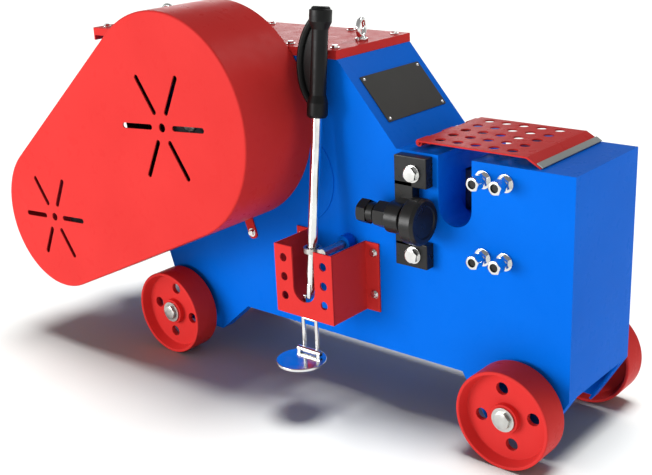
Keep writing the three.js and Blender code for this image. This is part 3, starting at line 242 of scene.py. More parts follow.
class Form:
    """A mesh under construction, in machine millimetres."""

    def __init__(self):
        self.bm = bmesh.new()

    def ring(self, points):
        return [self.bm.verts.new(p) for p in points]

    def skin(self, rings, closed=False):
        """Faces between neighbouring rings; a ring of one point closes to a tip."""
        pairs = list(zip(rings, rings[1:]))
        if closed:
            pairs.append((rings[-1], rings[0]))
        for low, high in pairs:
            count = max(len(low), len(high))
            for i in range(count):
                j = (i + 1) % count
                corners = [low[i % len(low)], low[j % len(low)]]
                corners += [high[j % len(high)], high[i % len(high)]]
                face = list(dict.fromkeys(corners))
                if len(face) > 2:
                    self.bm.faces.new(face)

    def fill(self, rings):
        """A flat face inside the first ring and outside the others."""
        edges = []
        for ring in rings:
            for i, vert in enumerate(ring):
                pair = (ring[i - 1], vert)
                edges.append(self.bm.edges.get(pair) or self.bm.edges.new(pair))
        bmesh.ops.triangle_fill(self.bm, edges=edges, use_beauty=True, use_dissolve=False)

    def lathe(self, profile, at, axis=(0, 1, 0), closed=False, steps=SMOOTH):
        """Turns (along, radius) points about an axis through `at`."""
        along = Vector(axis).normalized()
        side = Vector((0, 0, 1)) if abs(along.z) < 0.9 else Vector((1, 0, 0))
        side = (side - along * side.dot(along)).normalized()
        other = along.cross(side)
        rings = []
        for distance, radius in profile:
            centre = Vector(at) + along * distance
            if radius < 1e-4:
                rings.append(self.ring([centre]))
            else:
                turn = circle(0, 0, radius, steps)
                rings.append(self.ring([centre + side * p.x + other * p.y for p in turn]))
        self.skin(rings, closed)

    def plate(self, outline, holes, low, high, place=along_y, edge=0.6, rim=None):
        """A flat plate with round-edged holes; `rim` is the edge radius of its outline."""
        rim = edge if rim is None else rim
        ends = []
        for points, radius, way in [(outline, rim, -1)] + [(hole, edge, 1) for hole in holes]:
            soft = 1 - math.sqrt(0.5)
            steps = [(radius, 0), (radius * soft, radius * soft), (0, radius)] if radius else [(0, 0)]
            rings = []
            for out, deep in steps:
                rings.append([place(p.x, p.y, low + deep) for p in offset(points, way * out)])
            for out, deep in reversed(steps):
                rings.append([place(p.x, p.y, high - deep) for p in offset(points, way * out)])
            rings = [self.ring(ring) for ring in rings]
            self.skin(rings)
            ends.append((rings[0], rings[-1]))
        self.fill([first for first, _ in ends])
        self.fill([last for _, last in ends])

    def block(self, low, high, edge):
        """A box with rounded edges between two corners."""
        low, high = Vector(low), Vector(high)
        outline = [(low.x, low.y), (high.x, low.y), (high.x, high.y), (low.x, high.y)]
        self.plate(rounded(outline, edge, steps=3), [], low.z, high.z, along_z, edge)

    def prism(self, section, near, far):
        """A bar along Y with a rounded (x, z) section."""
        ends = [[along_y(p.x, p.y, y) for p in section] for y in (near, far)]
        self.skin([self.ring(points) for points in ends])
        for points in ends:
            self.fill([self.ring(points)])

    def tube(self, path, radius, sides=24, flat=1.0, up=(0, 1, 0)):
        """A round bar along a path; `flat` stretches its section along `up`."""
        path = [Vector(p) for p in path]
        rings = []
        for i, here in enumerate(path):
            run = path[min(i + 1, len(path) - 1)] - path[max(i - 1, 0)]
            side = run.cross(Vector(up)).normalized()
            over = side.cross(run).normalized()
            turn = circle(0, 0, radius, sides)
            rings.append(self.ring([here + side * p.x + over * p.y * flat for p in turn]))
        self.skin(rings)
        self.fill([rings[0]])
        self.fill([rings[-1]])

    def hexagon(self, at, axis, corner, thick, bore=0.0, start=0.0):
        """A hexagon head or nut with its outer corners chamfered round."""
        along = Vector(axis).normalized()
        side = Vector((0, 0, 1)) if abs(along.z) < 0.9 else Vector((1, 0, 0))
        other = along.cross(side)
        flat = corner * math.cos(math.pi / 6)
        crown, face = HEX["crown"] * flat, max(bore, HEX["face"] * flat)
        columns = []
        for i in range(HEX["steps"]):
            angle = 2 * math.pi * i / HEX["steps"]
            away = (angle + start) % (math.pi / 3) - math.pi / 6
            edge = flat / math.cos(away)
            way = side * math.cos(angle) + other * math.sin(angle)
            shoulder = thick - HEX["chamfer"] * (edge - crown)
            levels = [(edge, 0), (edge, shoulder), (crown, thick), (face, thick)]
            columns.append([Vector(at) + along * height + way * reach for reach, height in levels])
        rings = [self.ring(points) for points in zip(*columns)]
        self.skin(rings)
        if bore:
            back = [v.co - along * thick for v in rings[-1]]
            self.skin([rings[-1], self.ring(back)])
        else:
            self.fill([rings[-1]])

    def washer(self, at, axis, radius, thick, bore=0.0):
        profile = sleeve(0, thick, radius, bore)
        self.lathe(rounded(profile, 0.5, closed=bool(bore), steps=2), at, axis, bool(bore), 64)

    def bolt(self, at, axis, washer, corner, high):
        """A washer and a hexagon head standing on a face."""
        thick = 1.6
        self.washer(at, axis, washer, thick)
        self.hexagon(Vector(at) + Vector(axis).normalized() * thick, axis, corner, high)

    def finish(self, name, look, body, *nodes, crease=32):
        """Closes the mesh and makes it a piece that rides on a body."""
        bmesh.ops.remove_doubles(self.bm, verts=self.bm.verts, dist=1e-3)
        bmesh.ops.recalc_face_normals(self.bm, faces=self.bm.faces)
        self.bm.transform(TO_FRAME)
        settle(name, self.bm, look, body, nodes, crease)


def settle(name, bm, look, body, nodes, crease):
    """Makes a piece from a mesh: its look, the CAD nodes it stands for and its body."""
    mesh = bpy.data.meshes.new(name)
    bm.to_mesh(mesh)
    bm.free()
    mesh.shade_smooth()
    mesh.set_sharp_from_angle(angle=math.radians(crease))
    mesh.materials.append(LOOKS[look])
    piece = bpy.data.objects.new(name, mesh)
    bpy.context.scene.collection.objects.link(piece)
    normals = piece.modifiers.new("even_normals", "WEIGHTED_NORMAL")
    normals.keep_sharp = True
    if nodes:
        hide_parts(*nodes)
    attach(piece, body)


def take_out(bm, low, high):
    """Deletes the faces inside a box, and closes the holes that they leave."""
    low, high = TO_FRAME @ Vector(low), TO_FRAME @ Vector(high)
    inside = [f for f in bm.faces if all(low[k] < v.co[k] < high[k] for v in f.verts for k in range(3))]
    bmesh.ops.delete(bm, geom=inside, context="FACES")
    bmesh.ops.holes_fill(bm, edges=[e for e in bm.edges if e.is_boundary], sides=0)
    bmesh.ops.recalc_face_normals(bm, faces=bm.faces)


def refined(node, look, edge):
    """A CAD node's own shape with every hard edge rounded."""
    bm = bmesh.new()
    bm.from_mesh(bpy.data.objects[node].data)
    bmesh.ops.remove_doubles(bm, verts=bm.verts, dist=1e-6)
    if node in LEFT_OUT:
        take_out(bm, *LEFT_OUT[node])
    flat, sharp = (math.radians(SKIN_ANGLES[key]) for key in ("flat", "hard"))
    bmesh.ops.dissolve_limit(bm, angle_limit=flat, verts=bm.verts, edges=bm.edges)
    hard = [e for e in bm.edges if len(e.link_faces) == 2 and e.calc_face_angle() > sharp]
    bmesh.ops.bevel(
        bm, geom=hard, offset=edge * MM, segments=2, profile=0.5, affect="EDGES", clamp_overlap=True
    )
    settle(f"{node}_skin", bm, look, "root", [node], 32)


# -------- materials
def linear(colour):
    """A 0..255 display colour as scene values."""
    return tuple((c / 255 / 12.92 if c < 10.3 else ((c / 255 + 0.055) / 1.055) ** 2.4) for c in colour)


class Look:
    """A procedural material around one principled shader."""

    def __init__(self, name, **fixed):
        self.material = bpy.data.materials.new(name)
        self.material.use_nodes = True
        self.tree = self.material.node_tree
        self.shader = self.tree.nodes["Principled BSDF"]
        self.coords = self.tree.nodes.new("ShaderNodeTexCoord").outputs["Object"]
        self.bumps = None
        for socket, value in fixed.items():
            self.shader.inputs[socket.replace("_", " ")].default_value = value

    def noise(self, scale, detail, stretch=(1, 1, 1)):
        """Cloudy noise with about `scale` features to the metre."""
        mapping = self.tree.nodes.new("ShaderNodeMapping")
        mapping.inputs["Scale"].default_value = stretch
        self.tree.links.new(self.coords, mapping.inputs["Vector"])
        texture = self.tree.nodes.new("ShaderNodeTexNoise")
        texture.inputs["Scale"].default_value = scale
        texture.inputs["Detail"].default_value = detail
        texture.inputs["Roughness"].default_value = 0.55
        self.tree.links.new(mapping.outputs["Vector"], texture.inputs["Vector"])
        return texture.outputs["Fac"]

    def cells(self, scale):
        """Small round cells, about `scale` of them to the metre."""
        texture = self.tree.nodes.new("ShaderNodeTexVoronoi")
        texture.inputs["Scale"].default_value = scale
        self.tree.links.new(self.coords, texture.inputs["Vector"])
        return texture.outputs["Distance"]

    def spread(self, source, low, high):
        """The middle of a noise's range, stretched over a new range."""
        node = self.tree.nodes.new("ShaderNodeMapRange")
        node.inputs["From Min"].default_value = 0.35
        node.inputs["From Max"].default_value = 0.65
        node.inputs["To Min"].default_value = low
        node.inputs["To Max"].default_value = high
        self.tree.links.new(source, node.inputs["Value"])
        return node.outputs["Result"]

    def colour(self, source, first, second):
        """The base colour: a blend of two display colours, led by a noise."""
        ramp = self.tree.nodes.new("ShaderNodeValToRGB")
        ramp.color_ramp.elements[0].position = 0.3
        ramp.color_ramp.elements[1].position = 0.7
        ramp.color_ramp.elements[0].color = (*linear(first), 1)
        ramp.color_ramp.elements[1].color = (*linear(second), 1)
        self.tree.links.new(source, ramp.inputs["Fac"])
        self.tree.links.new(ramp.outputs["Color"], self.shader.inputs["Base Color"])

    def roughness(self, source, low, high):
        self.tree.links.new(self.spread(source, low, high), self.shader.inputs["Roughness"])

    def bump(self, source, height, strength):
        """Adds relief of about `height` metres to the surface normal."""
        node = self.tree.nodes.new("ShaderNodeBump")
        node.inputs["Distance"].default_value = height
        node.inputs["Strength"].default_value = strength
        self.tree.links.new(source, node.inputs["Height"])
        if self.bumps:
            self.tree.links.new(self.bumps, node.inputs["Normal"])
        self.bumps = node.outputs["Normal"]
        self.tree.links.new(self.bumps, self.shader.inputs["Normal"])


def enamel(name, shade, light, rough=(0.26, 0.36), gloss=0.02):
    """Sprayed paint: faint cloudiness, fine orange peel, and slightly uneven sheet under it."""
    look = Look(name, Specular_IOR_Level=gloss)
    look.colour(look.noise(4, 5), shade, light)
    look.roughness(look.noise(38, 4), *rough)
    look.bump(look.noise(4, 1), 0.0003, 0.1)
    look.bump(look.noise(500, 1), 0.00002, 0.1)
    return look.material


def plated(name, shade, light, rough):
    """Bright plating with faint draw marks and a few dull patches."""
    look = Look(name, Metallic=1.0)
    look.colour(look.noise(30, 4), shade, light)
    look.roughness(look.noise(55, 5), *rough)
    look.bump(look.noise(900, 3, stretch=(1, 1, 0.05)), 0.00002, 0.5)
    return look.material


def worked_steel(name, shade, light, marks):
    """Machined steel with turning marks and a thin film of oil."""
    look = Look(name, Metallic=1.0, Coat_Weight=0.15, Coat_Roughness=0.2)
    look.colour(look.noise(45, 6), shade, light)
    look.roughness(look.noise(120, 4), 0.3, 0.45)
    look.bump(look.noise(1400, 2, stretch=(1, 0.06, 1)), marks, 0.6)
    return look.material


def cast_iron(name, shade, light):
    """Rough grey castings."""
    look = Look(name, Metallic=0.75)
    look.colour(look.noise(70, 8), shade, light)
    look.roughness(look.noise(160, 5), 0.5, 0.72)
    look.bump(look.noise(520, 5), 0.0002, 0.8)
    return look.material


def moulded(name, shade, light, rough, grain):
    """Black plastic or rubber with a fine moulded grain."""
    look = Look(name, Specular_IOR_Level=0.25)
    look.colour(look.noise(40, 4), shade, light)
    look.roughness(look.noise(90, 4), *rough)
    look.bump(look.cells(1500), grain, 0.3)
    return look.material


# Each look's maker, its two colours, and what else the maker takes.
RECIPES = {
    "blue_paint": (enamel, (3, 106, 224), (6, 112, 232)),
    "red_paint": (enamel, (210, 52, 50), (217, 57, 55)),
    "dark_plate": (enamel, (74, 74, 73), (81, 81, 79), (0.45, 0.58)),
    "grey_paint": (enamel, (160, 163, 160), (172, 175, 171), (0.35, 0.45)),
    "black_paint": (enamel, (24, 24, 24), (33, 33, 33), (0.26, 0.36), 0.3),
    "black_plastic": (moulded, (10, 11, 11), (16, 17, 17), (0.38, 0.5), 0.00004),
    "chrome_plate": (plated, (216, 216, 215), (238, 238, 236), (0.1, 0.24)),
    "machined_steel": (worked_steel, (176, 176, 172), (204, 204, 199), 0.00003),
    "tool_steel": (worked_steel, (96, 97, 101), (124, 126, 130), 0.00002),
    "cast_iron": (cast_iron, (62, 63, 66), (96, 98, 101)),
    "belt_rubber": (moulded, (20, 20, 20), (34, 34, 33), (0.75, 0.9), 0.0001),
}
LOOKS = {name: maker(name, *values) for name, (maker, *values) in RECIPES.items()}


def dress_cad_nodes():
    """Gives every CAD node that stays in view the material of its slot."""
    for part in frame["record"]["subparts"]:
        node = bpy.data.objects[part["node"]]
        node.data.materials.clear()
        node.data.materials.append(LOOKS[part["material_slot"]])


# -------- belt guard
def belt_outline(inset):
    """The guard's outline, moved inward: two arcs and their common tangents."""
    steps = 72
    run = math.atan2(MOTOR.y - FLYWHEEL.y, MOTOR.x - FLYWHEEL.x)
    touch = math.acos((GUARD["big"] - GUARD["small"]) / (MOTOR - FLYWHEEL).length)
    big = arc(FLYWHEEL, GUARD["big"] - inset, run + touch, run - touch + 2 * math.pi, steps)
    small = arc(MOTOR, GUARD["small"] - inset, run - touch, run + touch, steps)
    return big + small


def star_holes(centre, start, end):
    """Radial slots with round ends about a centre hole."""
    holes = [circle(centre.x, centre.y, STAR["hole"], 32)]
    quarter = math.pi / 2
    for i in range(STAR["slots"]):
        angle = math.radians(STAR["turn"] + 360 / STAR["slots"] * i)
        way = Vector((math.cos(angle), math.sin(angle)))
        slot = arc(centre + way * end, STAR["half"], angle - quarter, angle + quarter, 10)
        slot += arc(centre + way * start, STAR["half"], angle + quarter, angle + 3 * quarter, 10)
        holes.append(slot)
    return holes


def guard_section():
    """The rim's bent sheet, as (inset, y) points from the front's outside to its inside."""
    front, back, sheet, bend, hem = (GUARD[key] for key in ("front", "back", "sheet", "bend", "hem"))
    soft = 0.5
    corner = arc(Vector((0, 0)), 1, 0, math.pi / 2, 6)
    section = [(bend + sheet, front)]
    section += [(bend - bend * p.x, front + bend - bend * p.y) for p in reversed(corner)]
    section += [(0, back - hem), (soft, back), (sheet - soft, back), (sheet, back - hem)]
    section += [(sheet + 1 - p.x, front + sheet + 1 - p.y) for p in corner]
    section += [(bend + sheet, front + sheet)]
    return section


def belt_guard():
    front, sheet = GUARD["front"], GUARD["sheet"]
    form = Form()
    holes = [hole for star in STARS for hole in star_holes(*star)]
    form.plate(belt_outline(GUARD["bend"] + sheet), holes, front, front + sheet, edge=0.5, rim=0)
    rings = []
    for inset, y in guard_section():
        rings.append(form.ring([along_y(p.x, p.y, y) for p in belt_outline(inset)]))
    form.skin(rings)
    form.finish("guard_shell", "red_paint", "root", "belt_guard", crease=30)


def guard_tab():
    """The strap that bolts the guard to the housing, leaning about its bolt."""
    tab = Form()
    left, right = GUARD_TAB["x"] - GUARD_TAB["wide"] / 2, GUARD_TAB["x"] + GUARD_TAB["wide"] / 2
    low, high = GUARD_TAB["low"], GUARD_TAB["high"]
    outline = [Vector(p) for p in ((left, low), (right, low), (right, high), (left, high))]
    lean = Matrix.Rotation(math.radians(GUARD_TAB["lean"]), 2)
    bolt = Vector((GUARD_TAB["x"], GUARD_BOLT["z"]))
    outline = rounded([bolt + lean @ (p - bolt) for p in outline], GUARD_TAB["corner"])
    tab.plate(outline, [], -GAP - GUARD["sheet"], -GAP)
    tab.finish("guard_tab", "red_paint", "root")


# -------- wheels and axles
def wheel(end, name, hub, out):
    """A dished wheel with a web of holes; `out` is the way its open side faces."""
    form = Form()
    radius, wide, rim, dish = (WHEEL[key] for key in ("radius", "wide", "rim", "dish"))
    web, web_back, bore = WHEEL["web"], WHEEL["web"] + WHEEL["thick"], WHEEL["bore"]
    sleeve_radius, front, back = WHEEL["hub"], WHEEL["hub_front"], wide - WHEEL["hub_back"]
    foot, root = dish - WHEEL["fillet"], sleeve_radius + WHEEL["fillet"]
    face = Vector(hub) + Vector((0, out * wide / 2, 0))
    axis = (0, -out, 0)
    tread = [
        (web, foot), (web, dish), (0, radius - rim), (0, radius), (wide, radius),
        (wide, radius - rim), (web_back, dish), (web_back, foot),
    ]
    form.lathe(rounded(tread, 2.6, closed=False), face, axis)
    middle = [
        (web_back, root), (web_back, sleeve_radius), (back, sleeve_radius), (back, bore),
        (front, bore), (front, sleeve_radius), (web, sleeve_radius), (web, root),
    ]
    form.lathe(rounded(middle, 2.2, closed=False), face, axis)
    sides = sorted((face.y - out * web, face.y - out * web_back))
    outer, inner = circle(hub[0], hub[2], foot), circle(hub[0], hub[2], root)
    wheel_web(form, outer, inner, wheel_holes(end, hub), *sides)
    form.finish(f"{name}_dish", "red_paint", name, name)


def wheel_holes(end, hub):
    holes = []
    for k in range(WHEEL_HOLES["count"]):
        angle = math.radians(WHEEL_HOLES[end] + 360 / WHEEL_HOLES["count"] * k)
        x = hub[0] + WHEEL_HOLES["ring"] * math.cos(angle)
        z = hub[2] + WHEEL_HOLES["ring"] * math.sin(angle)
        holes.append(circle(x, z, WHEEL_HOLES["radius"], 40))
    return holes


def wheel_web(form, outer, inner, holes, low, high):
    """A ring between two circles with walls in its holes only, because it meets rim and hub."""
    floors = [form.ring([along_y(p.x, p.y, low) for p in ring]) for ring in (outer, inner)]
    roofs = [form.ring([along_y(p.x, p.y, high) for p in ring]) for ring in (outer, inner)]
    soft = 0.8
    steps = [(soft, low), (0.25, low + 0.25), (0, low + soft)]
    steps += [(0, high - soft), (0.25, high - 0.25), (soft, high)]
    for hole in holes:
        rings = [form.ring([along_y(p.x, p.y, y) for p in offset(hole, out)]) for out, y in steps]
        form.skin(rings)
        floors.append(rings[0])
        roofs.append(rings[-1])
    form.fill(floors)
    form.fill(roofs)


def wheels_and_axles():
    washer, washer_thick = AXLE["washer"]
    corner, head = AXLE["head"]
    for end in ("left", "right"):
        form = Form()
        centre = middle(f"{end}_axle")
        low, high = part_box(f"{end}_axle")
        reach = (high[1] - low[1]) / MM / 2
        inner = reach - AXLE["inset"]
        form.lathe([(-inner, AXLE["radius"]), (inner, AXLE["radius"])], centre, steps=48)
        for side, out in (("near", -1), ("far", 1)):
            name = f"{side}_{end}_wheel"
            hub = middle(name)
            wheel(end, name, (hub.x, hub.y, WHEEL["radius"]), out)
            tip = centre + Vector((0, out * (reach - washer_thick - head), 0))
            form.washer(tip, (0, out, 0), washer, washer_thick)
            face = tip + Vector((0, out * washer_thick, 0))
            form.hexagon(face, (0, out, 0), corner, head, start=AXLE["turn"])
        form.finish(f"{end}_axle_ends", "machined_steel", "root", f"{end}_axle")


# -------- lever, grip and pedal
def lever_frame():
    """The lever's own axes: origin on its pivot, +Z up the tube."""
    turn = Matrix.Rotation(-math.radians(LEVER["tilt"]), 4, "X")
    return Matrix.Translation((LEVER["x"], LEVER["y"], LEVER["z"])) @ turn


def lever_tube():
    form = Form()
    end = GRIP["from"] + GRIP["length"] - TUBE["in_grip"]
    foot, top = TUBE["taper"][0], TUBE["taper"][-1]
    profile = [(foot[0], 0), *TUBE["taper"], (end, top[1]), (end, 0)]
    form.lathe(rounded(profile, 1.5, closed=False), (0, 0, 0), (0, 0, 1), steps=64)
    form.block(*TUBE["tongue"], 2.5)
    form.bm.transform(lever_frame())
    form.finish("lever_bar", "chrome_plate", "lever", "lever_tube")


def finger_guard_path():
    """The middle of the finger guard's rim, as (x, z) points of one cubic curve."""
    ends = [Vector((x, GRIP["from"] + up)) for x, up in FINGER_GUARD["curve"]]
    points = []
    for i in range(FINGER_GUARD["steps"] + 1):
        t = i / FINGER_GUARD["steps"]
        weights = ((1 - t) ** 3, 3 * t * (1 - t) ** 2, 3 * t * t * (1 - t), t**3)
        points.append(sum((p * w for p, w in zip(ends, weights)), Vector((0, 0))))
    return points


def lever_grip():
    """A waisted grip with a flared foot and cap, and a rimmed finger guard at its left."""
    form = Form()
    low, high = GRIP["from"], GRIP["from"] + GRIP["length"]
    profile = [(low + up, radius) for up, radius in GRIP["foot"]]
    profile += [(high + up, radius) for up, radius in GRIP["cap"]]
    form.lathe(rounded(profile, 3, closed=False), (0, 0, 0), (0, 0, 1), steps=72)
    rim, half = finger_guard_path(), FINGER_GUARD["half_sheet"]
    path = [(p.x, 0, p.y) for p in rim]
    form.tube(path, FINGER_GUARD["radius"], sides=28, flat=FINGER_GUARD["flat"])
    sheet = [Vector((0, rim[-1].y)), *reversed(rim), Vector((0, rim[0].y))]
    form.plate(sheet, [], -half, half, edge=0.5)
    form.bm.transform(lever_frame())
    form.finish("grip_moulding", "black_plastic", "lever", "lever_grip", crease=45)


def pedal_fork():
    """Two rods with eyes at the pivot and arms at the hinge, joined by a bar, a plate and a barrel."""
    x, y, z = LEVER["x"], LEVER["y"], LEVER["z"]
    hinge_y, hinge_z = PEDAL["hinge"]
    rod_y, spread, half = FORK["y"], FORK["spread"], FORK_EYE["half"]
    fork = Form()
    for side in (-1, 1):
        at = x + side * spread
        fork.tube([(at, rod_y, FORK["low"]), (at, rod_y, FORK["high"])], FORK["rod"], up=(1, 0, 0))
        eye = sleeve(-half, half, FORK_EYE["radius"], FORK_EYE["bore"])
        fork.lathe(rounded(eye, 1), (at, y, z), (1, 0, 0), True)
        fork.block((at - 3, hinge_y, hinge_z - 2), (at + 3, y - 3, hinge_z + 6), 1)
    pivot = Vector((x, y, z))
    for low, high in YOKE:
        fork.block(pivot + Vector(low), pivot + Vector(high), 1.2)
    bar = [(x + side * spread, rod_y, FORK["bar"]) for side in (-1, 1)]
    fork.tube(bar, FORK["bar_radius"])
    barrel = sleeve(-BARREL["half"], BARREL["half"], BARREL["radius"], BARREL["bore"])
    fork.lathe(rounded(barrel, 0.7), (x, hinge_y, hinge_z), (1, 0, 0), True, 40)
    fork.finish("pedal_fork_bars", "chrome_plate", "lever", "pedal_fork")


def pedal_disc():
    """A round plate on two knuckles and a pin, on either side of the fork's barrel."""
    x, z, radius = LEVER["x"], PEDAL["z"], BARREL["radius"]
    hinge_y, hinge_z = PEDAL["hinge"]
    inner, outer = BARREL["knuckles"]
    disc = Form()
    plate = rounded(sleeve(0, PEDAL["thick"], PEDAL["radius"]), 1.6, closed=False)
    disc.lathe(plate, (x, PEDAL["y"], z), (0, 0, 1))
    for start, end in ((-outer, -inner), (inner, outer)):
        knuckle = rounded(sleeve(start, end, radius), 0.7, closed=False)
        disc.lathe(knuckle, (x, hinge_y, hinge_z), (1, 0, 0), steps=40)
        disc.block((x + start, hinge_y - 5, z + 3), (x + end, hinge_y + 5, hinge_z), 0.8)
    pin = [(-outer, BARREL["pin"]), (outer, BARREL["pin"])]
    disc.lathe(pin, (x, hinge_y, hinge_z), (1, 0, 0), steps=24)
    disc.finish("pedal_plate", "chrome_plate", "pedal", "pedal_disc")


# -------- lever bracket
def bracket_holes():
    holes = []
    for i in range(BRACKET_HOLES["rows"]):
        z = BRACKET["low"] + BRACKET_HOLES["up"] + BRACKET_HOLES["pitch"] * i
        for side in (-1, 1):
            x = BRACKET_SLOT["x"] + side * BRACKET_HOLES["side"]
            holes.append(circle(x, z, BRACKET_HOLES["radius"], 40))
    return holes


def lever_bracket():
    """A front plate with a U-slot and two rows of holes, on two sides with flanges."""
    left, right, front, low, high, sheet = (
        BRACKET[key] for key in ("left", "right", "front", "low", "high", "sheet")
    )
    x, half, bottom = BRACKET_SLOT["x"], BRACKET_SLOT["half"], BRACKET_SLOT["bottom"]
    form = Form()
    slot = arc(Vector((x, bottom)), half, 0, -math.pi, 32)
    corners = [(left, high), (left, low), (right, low), (right, high), (x + half, high)]
    outline = [Vector(p) for p in corners] + slot + [Vector((x - half, high))]
    form.plate(outline, bracket_holes(), front, front + sheet, edge=0.9)
    for start, end in ((left, left + sheet), (right - sheet, right)):
        form.block((start, front + 1.5, low), (end, -GAP, high), 0.9)
    out = FLANGE["out"]
    form.block((left - out, -sheet, low), (left + 1, -GAP, high), 0.9)
    form.block((right - 1, -sheet, low), (right + out, -GAP, high), 0.9)
    form.finish("bracket_plates", "red_paint", "root", "lever_bracket", crease=40)


# -------- safety cover
def cover_holes():
    """A square field of round holes about the cover's centre."""
    centre_x, centre_y = COVER_HOLES["centre"]
    pitch_x, pitch_y = COVER_HOLES["pitch"]
    half = (COVER_HOLES["rows"] - 1) / 2
    steps = [i - half for i in range(COVER_HOLES["rows"])]
    return [
        circle(centre_x + i * pitch_x, centre_y + j * pitch_y, COVER_HOLES["radius"], 48)
        for i in steps for j in steps
    ]


def cover_slope():
    """The section of the cover's bent end, from its knee down to its tip."""
    bend, top, sheet = COVER["bend"], COVER["top"], COVER_HOLES["sheet"]
    tip = Vector(COVER["tip"])
    start = Vector((bend - sheet - 0.5, top))
    knee = Vector((bend + 0.5, top))
    run = (tip - knee).normalized()
    inward = Vector((-abs(run.y), -abs(run.x))) * sheet
    section = [start, knee, tip, tip + inward, knee + Vector((-1, -sheet)), start - Vector((0, sheet))]
    return rounded(section, 2.4)


def cover_knuckles(form):
    """The hinge's knuckles with the lugs that carry the cover."""
    x, z, top = HINGE["x"], HINGE["z"], COVER["top"]
    edge = COVER["left"] + 5
    for start, end in KNUCKLES:
        knuckle = sleeve(start, end, HINGE["radius"], HINGE["bore"])
        form.lathe(rounded(knuckle, 0.6), (x, 0, z), (0, 1, 0), True, 48)
        lug = [(x + 1, z + 4), (edge, top - COVER_HOLES["sheet"]), (edge, top - GAP), (x + 1, z + 7)]
        form.plate([Vector(p) for p in lug], [], start, end, edge=0.3)


def safety_cover():
    near, far, top, sheet = COVER["near"], COVER["far"], COVER["top"], COVER_HOLES["sheet"]
    left, right = COVER["left"], COVER["bend"] - sheet
    form = Form()
    outline = rounded([(left, near), (right, near), (right, far), (left, far)], 0.4, steps=1)
    form.plate(outline, cover_holes(), top - sheet, top, along_z, edge=0.7)
    form.prism(cover_slope(), near, far)
    cover_knuckles(form)
    form.finish("cover_sheet", "red_paint", "safety_cover", "safety_cover", crease=35)


def cover_lip():
    """The grey strip along the foot of the cover's bent end."""
    low, high = span("cover_edge_strip")
    strip = Form()
    foot = Vector(COVER["tip"]) + Vector(LIP["foot"])
    knee = Vector((COVER["bend"], COVER["top"])) + Vector(LIP["crown"])
    crown = foot.lerp(knee, LIP["share"])
    out = Vector((-(foot - crown).y, (foot - crown).x)).normalized() * LIP["thick"]
    strip.prism(rounded([foot, foot + out, crown + out, crown], 0.7), low.y, high.y)
    strip.finish("cover_lip", "grey_paint", "safety_cover", "cover_edge_strip")


# -------- bar rest
def rest_casting():
    """Two pads on a web, with the ear that the screw runs through."""
    left, right, front = REST["left"], REST["right"], REST["front"]
    low, high = REST["low"], REST["high"]
    pad_low, pad_high = REST_PADS["low"], REST_PADS["high"]
    lap_low, lap_high = REST_PADS["lap"]
    y, z = SCREW["y"], SCREW["z"]
    form = Form()
    form.block((left, front, high - pad_high), (right, -GAP, high), 1.8)
    form.block((left, front, low), (right, -GAP, low + pad_low), 1.8)
    web = (REST["web"], -GAP, high - pad_high + lap_high)
    form.block((left, front, low + pad_low - lap_low), web, 1.8)
    ear = rounded(sleeve(0, EAR["long"], EAR["radius"], EAR["bore"]), 1.5)
    form.lathe(ear, (EAR["x"], y, z), (1, 0, 0), True)
    neck = (EAR["x"] + EAR["long"], -GAP, z + EAR["radius"])
    form.block((EAR["x"], y, z - EAR["radius"]), neck, 1.2)
    form.finish("rest_casting", "black_paint", "root", "rest_bracket", crease=40)


def rest_screw():
    """A threaded screw with a dished disc at one end and a hexagon at the other."""
    axis = (0, SCREW["y"], SCREW["z"])
    face, disc, radius = SCREW["face"], SCREW["disc"], SCREW["radius"]
    back = face - SCREW["thick"]
    screw = Form()
    profile = [(back, radius), (back, disc - 6), (back + 5, disc), (face - 5, disc)]
    profile += [(face, disc - 5), (face, 31), (face - 2, 28), (face - 2, 0)]
    screw.lathe(rounded(profile, 2.5, closed=False), axis, (1, 0, 0))
    thread = [(THREAD["start"], THREAD["tip"])]
    for i in range(THREAD["turns"]):
        x = THREAD["start"] + THREAD["pitch"] * i
        thread += [(x, radius), (x + THREAD["pitch"] / 2, THREAD["root"])]
    screw.lathe(thread, axis, (1, 0, 0), steps=48)
    head = SCREW_HEAD["x"]
    screw.hexagon((head, *axis[1:]), (-1, 0, 0), SCREW_HEAD["corner"], SCREW_HEAD["long"])
    neck = [(head + along, r) for along, r in SCREW_HEAD["neck"]]
    screw.lathe(neck, axis, (1, 0, 0), steps=48)
    screw.finish("rest_screw_knob", "black_paint", "rest_screw", "rest_screw", crease=40)


def rest_nut():
    x, y, z = EAR["x"] - GAP, SCREW["y"], SCREW["z"]
    radius, thick = LOCKNUT["collar"]
    nut = Form()
    nut.hexagon((x, y, z), (-1, 0, 0), LOCKNUT["corner"], LOCKNUT["long"], LOCKNUT["bore"])
    nut.washer((x - thick, y, z), (1, 0, 0), radius, thick, LOCKNUT["bore"])
    nut.finish("rest_nut", "black_paint", "root", "rest_locknut", crease=40)


def rest_bolts():
    x, face = REST_BOLT["x"], REST["front"] - GAP
    radius, thick = REST_BOLT["washer"]
    corner, high = REST_BOLT["head"]
    for name, z in REST_BOLT_Z.items():
        bolt = Form()
        bolt.washer((x, face, z), (0, -1, 0), radius, thick)
        bolt.hexagon((x, face - thick, z), (0, -1, 0), corner, high, start=REST_BOLT["turn"])
        bolt.finish(f"{name}_head", "chrome_plate", "root", name)


